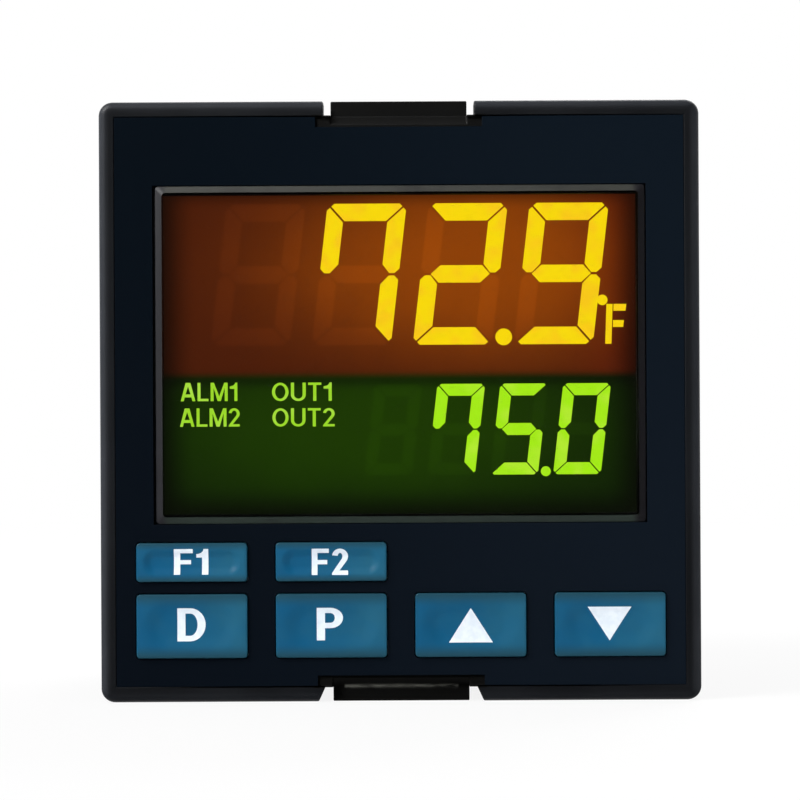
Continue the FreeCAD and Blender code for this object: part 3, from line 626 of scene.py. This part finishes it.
for node, (piece, slot, radius, finish) in softened.items():
    bm = wholeMesh(node)
    if node == "front_overlay":
        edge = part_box(node)[1].x  # the film nearly fills its place in the face
        outer = [v for v in bm.verts if max(abs(v.co.x), abs(v.co.z)) > edge - filmFit["margin"]]
        bmesh.ops.scale(bm, verts=outer, vec=(1 + filmFit["growth"] / edge, 1, 1 + filmFit["growth"] / edge))
    elif node == "front_bezel":
        for v in bm.verts:  # the slots beside the upper tongue are straight, those beside the lower one widen
            if v.co.z > slots["from"] and slots["root"] < abs(v.co.x) < slots["mouth"]:
                v.co.x = math.copysign(slots["root"], v.co.x)
    softenEdges(bm, radius)
    made = keepPiece(piece, bm, finish, [node])
    made.modifiers.new("flatSides", "WEIGHTED_NORMAL").keep_sharp = True
print("mouldings softened")


window = {"chamfer": 1.05 * mm, "chamferDepth": 0.6 * mm, "lip": 0.12 * mm, "shift": 0.1 * mm,
          "corner": 0.6 * mm, "cornerSteps": 4, "wall": 0.04 * mm, "edgeDepth": 1.4 * mm}


def makeWindow():
    # a clear pane inside a ground and chamfered edge
    w = window
    middle = (glassLow + glassHigh) / 2
    size = glassHigh - glassLow
    x = middle.x + w["shift"]
    paneWidth = size.x - 2 * (w["lip"] + w["shift"] + w["chamfer"])
    paneHeight = size.z - 2 * w["chamfer"]
    inside = 2 * w["wall"]
    bm = bmesh.new()
    rings = [(paneWidth - inside, paneHeight - inside, w["corner"], glassHigh.y),
             (paneWidth - inside, paneHeight - inside, w["corner"], glassLow.y)]
    stackRings(bm, rings, x, middle.z, w["cornerSteps"])
    clear = clearPlastic("windowClear", (1, 1, 1, 1))
    keepPiece("windowPane", bm, clear, ["display_lens"])
    bm = bmesh.new()
    back = glassLow.y + w["edgeDepth"]
    foot = glassLow.y + w["chamferDepth"]
    rings = [(paneWidth, paneHeight, w["corner"], back),
             (paneWidth, paneHeight, w["corner"], glassLow.y),
             (paneWidth + 2 * w["chamfer"], size.z, w["corner"], foot),
             (paneWidth + 2 * w["chamfer"], size.z, w["corner"], back)]
    first, last = stackRings(bm, rings, x, middle.z, w["cornerSteps"])
    bmesh.ops.bridge_loops(bm, edges=list(first.edges) + list(last.edges))
    bmesh.ops.delete(bm, geom=[first, last], context="FACES_ONLY")
    keepPiece("windowEdge", bm, groundEdge())


makeWindow()
print("window made")


letterSpace = 0.11  # between letters, as a share of their height
arcStep = 12  # degrees between the points of an arc, about
draping = {"longest": 0.35 * mm, "passes": 2, "cuts": 2}


def arc(x, z, width, height, start, end):
    # points on an ellipse's arc
    count = max(2, round(abs(end - start) / arcStep))
    turns = [math.radians(start + (end - start) * i / count) for i in range(count + 1)]
    return [(x + width * math.cos(t), z + height * math.sin(t)) for t in turns]


def ring(x, z, width, height):
    # points round a whole ellipse
    return arc(x, z, width, height, 0, 360 - arcStep)


def letterShapes(stem, bar):
    # plain upright letters and figures of height 1: each has a width, an outline and its holes
    s = stem
    b = bar
    high = 1 - bar
    six = [arc(0.28, 0.31, 0.28, 0.31, 0, -180) + arc(0.3, 0.5, 0.3, 0.5, 170, 32)
           + arc(0.3, 0.5, 0.3 - s, 0.5 - b, 40, 158) + arc(0.28, 0.33, 0.28, 0.3, 125, 8),
           ring(0.28, 0.31, 0.28 - s, 0.31 - b)]
    return {
        "A": (0.74, [[(0, 0), (0.25, 1), (0.49, 1), (0.74, 0), (0.74 - s, 0), (0.69 - s, 0.21),
                      (0.05 + s, 0.21), (s, 0)],
                     [(0.09 + s, 0.37), (0.65 - s, 0.37), (0.37, 0.8)]]),
        "D": (0.7, [[(0, 0)] + arc(0.32, 0.5, 0.38, 0.5, -90, 90) + [(0, 1)],
                    [(s, b)] + arc(0.32, 0.5, 0.38 - s, 0.5 - b, -90, 90) + [(s, high)]]),
        "F": (0.6, [[(0, 0), (s, 0), (s, 0.4), (0.54, 0.4), (0.54, 0.4 + b), (s, 0.4 + b), (s, high),
                     (0.6, high), (0.6, 1), (0, 1)]]),
        "L": (0.55, [[(0, 0), (0.55, 0), (0.55, b), (s, b), (s, 1), (0, 1)]]),
        "M": (0.86, [[(0, 0), (s, 0), (s, 0.72), (0.35, 0), (0.51, 0), (0.86 - s, 0.72), (0.86 - s, 0),
                      (0.86, 0), (0.86, 1), (0.84 - s, 1), (0.43, 0.26), (0.02 + s, 1), (0, 1)]]),
        "O": (0.78, [ring(0.39, 0.5, 0.39, 0.5), ring(0.39, 0.5, 0.39 - s, 0.5 - b)]),
        "P": (0.64, [[(0, 0), (s, 0), (s, 0.37)] + arc(0.33, 0.685, 0.31, 0.315, -90, 90) + [(0, 1)],
                     [(s, 0.37 + b)] + arc(0.33, 0.685, 0.31 - s, 0.315 - b, -90, 90) + [(s, high)]]),
        "T": (0.62, [[(0.31 - s / 2, 0), (0.31 + s / 2, 0), (0.31 + s / 2, high), (0.62, high), (0.62, 1),
                      (0, 1), (0, high), (0.31 - s / 2, high)]]),
        "U": (0.7, [[(0, 1)] + arc(0.35, 0.35, 0.35, 0.35, 180, 360) + [(0.7, 1), (0.7 - s, 1)]
                    + arc(0.35, 0.35, 0.35 - s, 0.35 - b, 360, 180) + [(s, 1)]]),
        "0": (0.56, [ring(0.28, 0.5, 0.28, 0.5), ring(0.28, 0.5, 0.28 - s, 0.5 - b)]),
        "1": (0.38, [[(0.38 - s, 0), (0.38, 0), (0.38, 1)] + arc(0, 1, 0.38 - s * 0.75, 0.2, 0, -90)
                     + [(0, 0.66), (0.38 - s, 0.66)]]),
        "2": (0.56, [arc(0.28, 0.7, 0.28, 0.3, 172, -38)
                     + [(0.06 + s, b), (0.56, b), (0.56, 0), (0, 0), (0, 0.07)]
                     + arc(0.28, 0.7, 0.28 - s, 0.3 - b, -48, 172)]),
        "3": (0.56, [arc(0.28, 0.735, 0.26, 0.265, 165, -48) + arc(0.28, 0.29, 0.28, 0.29, 48, -165)
                     + arc(0.28, 0.29, 0.28 - s, 0.29 - b, -158, 80) + [(0.22, 0.59 - b), (0.22, 0.59)]
                     + arc(0.28, 0.735, 0.26 - s, 0.265 - b, -80, 158)]),
        "4": (0.6, [[(0.5 - s, 0), (0.5, 0), (0.5, 0.22), (0.6, 0.22), (0.6, 0.22 + b), (0.5, 0.22 + b),
                     (0.5, 1), (0.5 - s, 1), (0, 0.24 + b), (0, 0.22), (0.5 - s, 0.22)],
                    [(0.5 - s, 0.22 + b), (0.5 - s, 0.76), (0.12, 0.22 + b)]]),
        "5": (0.56, [[(0.53, high), (0.53, 1), (0.08, 1), (0.01, 0.46), (s, 0.44)]
                     + arc(0.28, 0.32, 0.28 - s, 0.32 - b, 130, -155) + arc(0.28, 0.32, 0.28, 0.32, -165, 112)
                     + [(0.23, high)]]),
        "6": (0.56, six),
        "7": (0.56, [[(0, 1), (0.56, 1), (0.56, high), (0.2 + s / 2, 0), (0.2 - s / 2, 0),
                      (0.56 - s, high), (0, high)]]),
        "8": (0.56, [arc(0.28, 0.285, 0.28, 0.285, 135, 405) + arc(0.28, 0.755, 0.25, 0.245, -50, 230),
                     ring(0.28, 0.285, 0.28 - s, 0.285 - b),
                     ring(0.28, 0.755, 0.25 - s, 0.245 - b)]),
        "9": (0.56, [[(0.56 - x, 1 - z) for x, z in loop] for loop in six]),
    }


boldLetters = letterShapes(0.2, 0.165)
plainLetters = letterShapes(0.15, 0.13)


def drape(piece, y, depth, surface=None):
    # gives flat lettering its thickness; where a surface is given, its back follows that surface
    if surface:
        for i in range(draping["passes"]):
            long = [e for e in piece.edges if e.calc_length() > draping["longest"]]
            bmesh.ops.subdivide_edges(piece, edges=long, cuts=draping["cuts"])
            bmesh.ops.triangulate(piece, faces=piece.faces)
    for v in piece.verts:
        v.co.y = surface(v.co.x, v.co.z) - depth / 2 if surface else y
    thicken(piece, piece.faces, depth)


def addWord(bm, word, letters, x, z, height, width, y, depth, surface=None):
    # a word fitted to a height and a width, with its middle at x and z; a width below 0 faces it to the back
    piece = bmesh.new()
    pen = 0
    for letter in word:
        letterWidth, loops = letters[letter]
        edges = []
        for loop in loops:
            verts = [piece.verts.new((pen + px, 0, pz)) for px, pz in loop]
            edges += [piece.edges.new((verts[i - 1], verts[i])) for i in range(len(verts))]
        bmesh.ops.triangle_fill(piece, use_beauty=True, edges=edges, normal=(0, -1, 0))
        pen += letterWidth + letterSpace
    length = pen - letterSpace
    for v in piece.verts:
        v.co = Vector((x + (v.co.x / length - 0.5) * width, y, z + (v.co.z - 0.5) * height))
    drape(piece, y, depth, surface)
    joinTo(bm, piece)


figures = {"slant": math.radians(6.7), "thickness": 0.03 * mm, "lift": 0.02 * mm, "dotSteps": 28,
           "unlitGain": 1.22}
upperFigures = {"width": 12.7 * mm, "height": 22.7 * mm, "stroke": 2.8 * mm, "gap": 0.2 * mm,
                "tip": 0.9 * mm, "fromRight": 13.3 * mm, "fromTop": 14.1 * mm, "pitch": 16.22 * mm}
lowerFigures = {"width": 7.65 * mm, "height": 14.6 * mm, "stroke": 1.92 * mm, "gap": 0.12 * mm,
                "tip": 0.5 * mm, "fromRight": 10.1 * mm, "fromTop": 39.05 * mm, "pitch": 10.1 * mm}
# each dot's place from the window's right and top, and its radius, in mm
dots = {"upper": [(22.6, 24.25, 1.35), (6.75, 18.4, 0.85)], "lower": [(15.95, 45.85, 0.8)]}
unitLetter = {"fromRight": 5.7 * mm, "fromTop": 22.25 * mm, "slant": math.radians(2),
              "bars": [[(-0.5, 3.2), (0.5, 3.2), (0.5, -3.2), (-0.5, -3.2)],
                       [(0.65, 3.2), (2.7, 3.2), (2.6, 2.1), (0.65, 2.1)],
                       [(0.65, 0.6), (2.4, 0.6), (2.3, -0.5), (0.65, -0.5)]]}
barsOf = {"7": "abcf", "2": "abged", "9": "abcdfg", "5": "afgcd", "0": "abcdef", " ": ""}


def barOutline(bar, style):
    # outline of one bar of an upright figure; the lower half mirrors the upper one
    w = style["width"] / 2
    h = style["height"] / 2
    t = style["stroke"]
    g = style["gap"]
    tip = style["tip"]
    if bar in "ad":
        points = [(-w + tip + g, h), (w - tip - g, h), (w - tip / 2 - g, h - tip / 2), (w - t - g, h - t),
                  (-w + t + g, h - t), (-w + tip / 2 + g, h - tip / 2)]
    elif bar == "g":
        points = [(-w + t + g, t / 2), (w - t - g, t / 2), (w - t / 2 - g, 0), (w - t - g, -t / 2),
                  (-w + t + g, -t / 2), (-w + t / 2 + g, 0)]
    else:
        points = [(-w, h - tip - g), (-w + tip / 2, h - tip / 2 - g), (-w + t, h - t - g),
                  (-w + t, t / 2 + g), (-w + t / 2 + g, g), (-w + t / 4, g), (-w, t / 4 + g)]
    if bar in "bc":
        points = [(-x, z) for x, z in points]
    if bar in "dec":
        points = [(x, -z) for x, z in points]
    return points


def addShape(bm, points, x, z, y, slant):
    # a thin flat shape from its corners, leaned to the right about its middle
    verts = [bm.verts.new((x + px + pz * math.tan(slant), y, z + pz)) for px, pz in points]
    thicken(bm, [bm.faces.new(verts)], figures["thickness"])


def addDots(bm, places, y):
    for right, down, radius in places:
        middle = Vector((glassHigh.x - right * mm, y + figures["thickness"] / 2, glassHigh.z - down * mm))
        turn = Matrix.Rotation(math.pi / 2, 4, "X")
        bmesh.ops.create_cone(bm, cap_ends=True, segments=figures["dotSteps"], radius1=radius * mm,
                              radius2=radius * mm, depth=figures["thickness"],
                              matrix=Matrix.Translation(middle) @ turn)


def addFigures(bm, word, style, y, lit=True):
    # figures from the right-hand one leftwards, either their lit bars or the ones left dark
    for place, figure in enumerate(reversed(word)):
        x = glassHigh.x - style["fromRight"] - place * style["pitch"]
        z = glassHigh.z - style["fromTop"]
        for bar in "abcdefg":
            if (bar in barsOf[figure]) == lit:
                addShape(bm, barOutline(bar, style), x, z, y, figures["slant"])


# each word's middle from the window's right and top, and its width, in mm
annunciators = {"height": 2.95 * mm,
                "words": [("ALM1", 69.95, 32.85, 9.1), ("ALM2", 69.85, 36.95, 9.6),
                          ("OUT1", 55.05, 32.9, 9.6), ("OUT2", 54.8, 37.0, 10.0)]}


def makeDisplay():
    # two rows of lit figures with their dots and unit, the bars left dark, and the status words
    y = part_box("lcd_panel")[0].y - figures["thickness"] - figures["lift"]
    bm = bmesh.new()
    addFigures(bm, "729", upperFigures, y)
    addDots(bm, dots["upper"], y)
    middleX = glassHigh.x - unitLetter["fromRight"]
    middleZ = glassHigh.z - unitLetter["fromTop"]
    for bar in unitLetter["bars"]:
        addShape(bm, [(px * mm, pz * mm) for px, pz in bar], middleX, middleZ, y, unitLetter["slant"])
    keepPiece("upperFigures", bm, lamp("amberFigure", paint(255, 222, 10), paint(255, 205, 26)))
    bm = bmesh.new()
    addFigures(bm, "750", lowerFigures, y)
    addDots(bm, dots["lower"], y)
    keepPiece("lowerFigures", bm, lamp("greenFigure", paint(168, 240, 24), paint(184, 240, 52)))
    bm = bmesh.new()
    addFigures(bm, " 729", upperFigures, y + figures["thickness"] / 2, False)
    addFigures(bm, " 750", lowerFigures, y + figures["thickness"] / 2, False)
    keepPiece("unlitBars", bm, displayField("unlitField", figures["unlitGain"]))
    bm = bmesh.new()
    for word, right, down, width in annunciators["words"]:
        addWord(bm, word, plainLetters, glassHigh.x - right * mm, glassHigh.z - down * mm,
                annunciators["height"], width * mm, y, figures["thickness"])
    keepPiece("annunciators", bm, lamp("annunciatorGlow", paint(160, 222, 44), paint(176, 230, 72)))


makeDisplay()
print("display made")


keyShape = {"corner": 0.6 * mm, "cornerSteps": 10, "edge": 0.22 * mm, "edgeSteps": 4, "margin": 0.75 * mm,
            "dishLean": 0.75, "dishDepth": 0.55 * mm, "dishSteps": 8, "skirt": 3.4 * mm,
            "printDepth": 0.03 * mm, "earWidth": 2.4 * mm, "earThick": 0.9 * mm, "frontReach": 0.05 * mm}
# word, height, width, and how far right of and above the cap's middle, in mm
legends = {"f1": ("F1", 4.1, 5.5, -0.1, 0.1),
           "f2": ("F2", 4.2, 5.8, -0.2, 0.0),
           "display": ("D", 5.3, 4.5, -0.1, 0.25),
           "program": ("P", 5.2, 4.2, -0.25, 0.25),
           "up": ("up", 5.5, 7.0, 0.0, -0.05),
           "down": ("down", 5.4, 7.0, -0.1, 0.1)}


def keyFace(node):
    # middle and size of a key's front, which is the part of its node nearest the viewer
    mesh = nodes[node].data
    front = min(v.co.y for v in mesh.vertices)
    spots = [v.co for v in mesh.vertices if v.co.y < front + keyShape["frontReach"]]
    xs = [p.x for p in spots]
    zs = [p.z for p in spots]
    return (min(xs) + max(xs)) / 2, (min(zs) + max(zs)) / 2, max(xs) - min(xs), max(zs) - min(zs), front


def makeKey(name, rubber, ink):
    # a cap with a long shallow dish, its ears behind the face, and its legend printed in the dish
    s = keyShape
    node = "key_" + name
    body = name + "_key"
    x, z, width, height, front = keyFace(node)
    low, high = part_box(node)
    rings = [(width, height, s["corner"], front + s["skirt"])]
    for inward, back in rounded(s["edgeSteps"], s["edge"]):
        rings.append((width - 2 * inward, height - 2 * inward, s["corner"] - inward, front + back))
    dishWidth = width - 2 * s["margin"]
    dishHeight = height - 2 * s["margin"]
    lean = s["dishLean"] * dishHeight / 2

    def depth(part):
        return s["dishDepth"] * (1 - math.cos(math.pi * part)) / 2

    for i in range(s["dishSteps"] + 1):
        inward = lean * i / s["dishSteps"]
        rings.append((dishWidth - 2 * inward, dishHeight - 2 * inward, dishHeight / 2 - inward,
                      front + depth(i / s["dishSteps"])))
    bm = bmesh.new()
    stackRings(bm, rings, x, z, s["cornerSteps"])
    for side, end in ((-1, low.x), (1, high.x)):
        ear = Matrix.Translation((end - side * s["earWidth"] / 2, front + s["skirt"], z))
        size = Matrix.Diagonal((s["earWidth"], s["earThick"], height / 2, 1))
        bmesh.ops.create_cube(bm, size=1, matrix=ear @ size)
    share = bm.verts.layers.float_vector.new("capShare")
    for v in bm.verts:  # how far across and up the cap each point is, for its colour
        v[share] = ((v.co.x - low.x) / (high.x - low.x), 0, (v.co.z - z) / height + 0.5)
    keepPiece("keyCap_" + name, bm, rubber, [node], body)

    def surface(px, pz):
        # the cap's front at a place: how far inside the rim of the dish, and so how deep
        straight = (dishWidth - dishHeight) / 2
        away = math.hypot(max(abs(px - x) - straight, 0), pz - z)
        return front + depth(min(max((dishHeight / 2 - away) / lean, 0), 1))

    word, tall, wide, aside, above = legends[name]
    middleX = x + aside * mm
    middleZ = z + above * mm
    bm = bmesh.new()
    if word in ("up", "down"):
        half = wide / 2 * mm
        rise = tall / 2 * mm * (1 if word == "up" else -1)
        corners = ((-half, -rise), (half, -rise), (0, rise))
        bm.faces.new([bm.verts.new((middleX + px, 0, middleZ + pz)) for px, pz in corners])
        drape(bm, 0, s["printDepth"], surface)
    else:
        addWord(bm, word, boldLetters, middleX, middleZ, tall * mm, wide * mm, 0, s["printDepth"], surface)
    keepPiece("legend_" + name, bm, ink, body=body)


rubber = keyRubber()
ink = plainFinish("whiteInk", paint(212, 222, 232), paint(224, 232, 240), 1.2 * mm, 0.5, 0.002 * mm, 0.3)
for name in legends:
    makeKey(name, rubber, ink)
print("keys made")


screwShape = {"steps": 32, "edge": 0.55 * mm, "edgeSteps": 5, "dome": 0.18 * mm, "slotWidth": 0.9 * mm,
              "slotDepth": 1.2 * mm, "pitch": 0.7 * mm, "thread": 0.22 * mm, "shank": 1.75 * mm,
              "turns": (12, -31, 64, 5, 88, -17), "weld": 0.001 * mm, "cutReach": 0.0005 * mm,
              "near": 0.002 * mm}
numerals = {"height": 2.5 * mm, "width": 1.45 * mm, "depth": 0.03 * mm, "aside": 3.6 * mm}


def screwProfile(headRadius, seat, top, tip):
    # half outline of a screw along Y, from the tip's middle to the head's middle
    s = screwShape
    core = s["shank"] - s["thread"]
    points = [(0, tip), (core - s["thread"], tip)]
    for i in range(int((seat - tip) / s["pitch"])):
        points.append((s["shank"], tip + (i + 0.5) * s["pitch"]))
        points.append((core, tip + (i + 1) * s["pitch"]))
    points += [(core, seat), (headRadius, seat)]
    shoulder = top - s["dome"]
    points += [(headRadius - inward, shoulder - back) for inward, back in rounded(s["edgeSteps"], s["edge"])]
    return points + [((headRadius - s["edge"]) / 2, top - s["dome"] / 4), (0, top)]


def cutSlot(bm, width, floor):
    # cuts a driver slot across a head along X, down to floor
    half = width / 2
    for place, across in (((0, 0, half), (0, 0, 1)), ((0, 0, -half), (0, 0, 1)), ((0, floor, 0), (0, 1, 0))):
        geom = list(bm.verts) + list(bm.edges) + list(bm.faces)
        bmesh.ops.bisect_plane(bm, geom=geom, dist=screwShape["cutReach"], plane_co=place, plane_no=across)
    middles = [(f, f.calc_center_median()) for f in bm.faces]
    inside = [f for f, middle in middles if abs(middle.z) < half and middle.y > floor]
    bmesh.ops.delete(bm, geom=inside, context="FACES")
    near = screwShape["near"]
    sill = [v for v in bm.verts if abs(v.co.y - floor) < near and abs(abs(v.co.z) - half) < near
            and any(len(e.link_faces) == 1 for e in v.link_edges)]
    for side in (-1, 1):
        ends = [v for v in sill if v.co.z * side > 0]
        bm.edges.new(ends)
    rim = [e for e in bm.edges if len(e.link_faces) < 2]
    walls = [[e for e in rim if all(abs(v.co.z - side * half) < near for v in e.verts)] for side in (-1, 1)]
    ground = [e for e in rim if all(abs(v.co.y - floor) < near for v in e.verts)]
    for loop in walls + [ground]:
        bmesh.ops.contextual_create(bm, geom=loop)


screwMesh = wholeMesh("terminal_screws")
screwBoxes = partBoxes(screwMesh)
screwMesh.free()


def makeScrews():
    # the frame's screws, with domed and slotted heads and threads, each stopped at its own angle
    whole = bmesh.new()
    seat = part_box("wire_clamps")[1].y
    for number, (low, high) in enumerate(screwBoxes):
        bm = bmesh.new()
        radius = (high.x - low.x) / 2
        verts = [bm.verts.new((across, y, 0)) for across, y in screwProfile(radius, seat, high.y, low.y)]
        edges = [bm.edges.new(pair) for pair in zip(verts, verts[1:])]
        bmesh.ops.spin(bm, geom=verts + edges, cent=(0, 0, 0), axis=(0, 1, 0), angle=2 * math.pi,
                       steps=screwShape["steps"], use_merge=True)
        bmesh.ops.remove_doubles(bm, verts=bm.verts, dist=screwShape["weld"])
        cutSlot(bm, screwShape["slotWidth"], high.y - screwShape["slotDepth"])
        turn = math.radians(screwShape["turns"][number % len(screwShape["turns"])])
        middle = Matrix.Translation(((low.x + high.x) / 2, 0, (low.z + high.z) / 2))
        bmesh.ops.transform(bm, matrix=middle @ Matrix.Rotation(turn, 4, "Y"), verts=bm.verts)
        joinTo(whole, bm)
    keepPiece("slottedScrews", whole, screwFinish, ["terminal_screws"])


def makeNumerals():
    # terminal numbers printed on the case's back, read from behind, beside each screw
    bm = bmesh.new()
    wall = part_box("case_shell")[1].y
    for number, (low, high) in enumerate(screwBoxes):
        side = 1 if low.x > 0 else -1
        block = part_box("terminal_block_right" if side > 0 else "terminal_block_left")
        inner = block[0].x if side > 0 else block[1].x
        word = str(number + 1)
        addWord(bm, word, boldLetters, inner - side * numerals["aside"], (low.z + high.z) / 2,
                numerals["height"], -numerals["width"] * len(word), wall - numerals["depth"] / 2,
                numerals["depth"])
    keepPiece("terminalNumbers", bm, ink)


makeScrews()
makeNumerals()
print("terminals made")


studio = {"floor": 3.0, "floorSteps": 64, "gap": 0.02 * mm, "white": 1.0, "room": 0.5, "dark": 0.012,
          "turn": (-0.2, 0.9), "paper": paint(232, 232, 232), "shown": 0.87, "clear": (0.15, 0.7)}


def makeWorld():
    # the camera sees white; mirrors and glass see white behind the object and dark in front of it
    world = bpy.data.worlds.new("studio")
    scene.world = world
    t = Tree(world)
    place = t.node("ShaderNodeTexCoord", {}, {}, "Generated")
    behind = t.node("ShaderNodeSeparateXYZ", {}, {0: place}, "Y").step(*studio["turn"])
    mirrored = studio["dark"] + behind * (studio["white"] - studio["dark"])
    clear = t.ray("Glossy").most(t.ray("Transmission"))
    plain = clear * mirrored + (1 - clear) * studio["room"]
    seen = t.ray("Camera")
    strength = seen * studio["white"] + (1 - seen) * plain
    sky = t.node("ShaderNodeBackground", {}, {"Color": (1, 1, 1, 1), "Strength": strength})
    t.node("ShaderNodeOutputWorld", {}, {"Surface": sky})


def makeFloor():
    # white paper; it is clear from below, and lets light through to the object's underside
    f = Finish("floorPaper", roughness=0.9, specularIorLevel=0.0, baseColor=studio["paper"])
    seen = f.ray("Camera")
    away = f.node("ShaderNodeVectorMath", {"operation": "LENGTH"}, {0: f.place}, "Value")
    white = f.node("ShaderNodeEmission", {}, {"Strength": studio["white"]})
    lit = seen * (studio["shown"] + (1 - studio["shown"]) * away.step(*studio["clear"]))
    paper = f.node("ShaderNodeMixShader", {}, {0: lit, 1: Wire(f, f.shader.outputs[0]), 2: white})
    dim = f.node("ShaderNodeEmission", {}, {"Strength": studio["dark"]})
    mirrored = f.node("ShaderNodeMixShader", {}, {0: f.axis("Y").step(0.0, 0.5), 1: dim, 2: white})
    clear = f.ray("Glossy").most(f.ray("Transmission"))
    upper = f.node("ShaderNodeMixShader", {}, {0: clear, 1: paper, 2: mirrored})
    below = f.node("ShaderNodeNewGeometry", {}, {}, "Backfacing")
    middle = (cadBox[0] + cadBox[1]) / 2
    half = (cadBox[1] - cadBox[0]) / 2
    besideX = abs(f.axis("X") - middle.x).step(half.x - mm, half.x)
    besideY = abs(f.axis("Y") - middle.y).step(half.y - mm, half.y)
    gone = f.node("ShaderNodeBsdfTransparent", {}, {})
    opened = below.most((1 - besideX.most(besideY)) * (1 - seen))
    f.feed(f.output.inputs["Surface"], f.node("ShaderNodeMixShader", {}, {0: opened, 1: upper, 2: gone}))
    bm = bmesh.new()
    bmesh.ops.create_circle(bm, cap_ends=True, radius=studio["floor"], segments=studio["floorSteps"],
                            matrix=Matrix.Translation((0, 0, cadBox[0].z - studio["gap"])))
    floor = addObject("floor", meshFrom(bm, "floor"))
    floor.data.materials.append(f.owner)


lights = {"keySoftbox": {"place": (-0.62, -0.42, 0.62), "aim": (0, 0, 0), "size": (0.4, 0.4),
                         "watts": 8, "mirrored": True},
          "fillSoftbox": {"place": (-0.25, -0.9, -0.02), "aim": (0, 0, 0), "size": (0.6, 0.05),
                          "watts": 2.5, "mirrored": False},
          "backSoftbox": {"place": (0.35, 0.8, 0.6), "aim": (0, 0.03, 0), "size": (0.6, 0.6),
                          "watts": 8, "mirrored": True}}


def addLight(name, setting):
    light = bpy.data.lights.new(name, "AREA")
    light.shape = "RECTANGLE"
    light.size, light.size_y = setting["size"]
    light.energy = setting["watts"]
    holder = addObject(name, light)
    holder.location = setting["place"]
    holder.rotation_euler = (Vector(setting["aim"]) - holder.location).to_track_quat("-Z", "Y").to_euler()
    holder.visible_glossy = setting["mirrored"]
    holder.visible_transmission = setting["mirrored"]


makeWorld()
makeFloor()
for name, setting in lights.items():
    addLight(name, setting)

view = {"lens": 135, "across": 127.6 * mm, "roll": math.radians(0.3), "aimX": 0.0, "aimZ": 0.15 * mm,
        "nearest": 0.01}
camera = bpy.data.cameras.new("camera")
camera.lens = view["lens"]
camera.clip_start = view["nearest"]
holder = addObject("camera", camera)
distance = view["across"] * view["lens"] / camera.sensor_width
holder.matrix_world = (Matrix.Translation((view["aimX"], cadBox[0].y - distance, view["aimZ"]))
                       @ Matrix.Rotation(math.pi / 2, 4, "X") @ Matrix.Rotation(-view["roll"], 4, "Z"))
scene.camera = holder
scene.view_settings.view_transform = "Standard"
print("studio made")
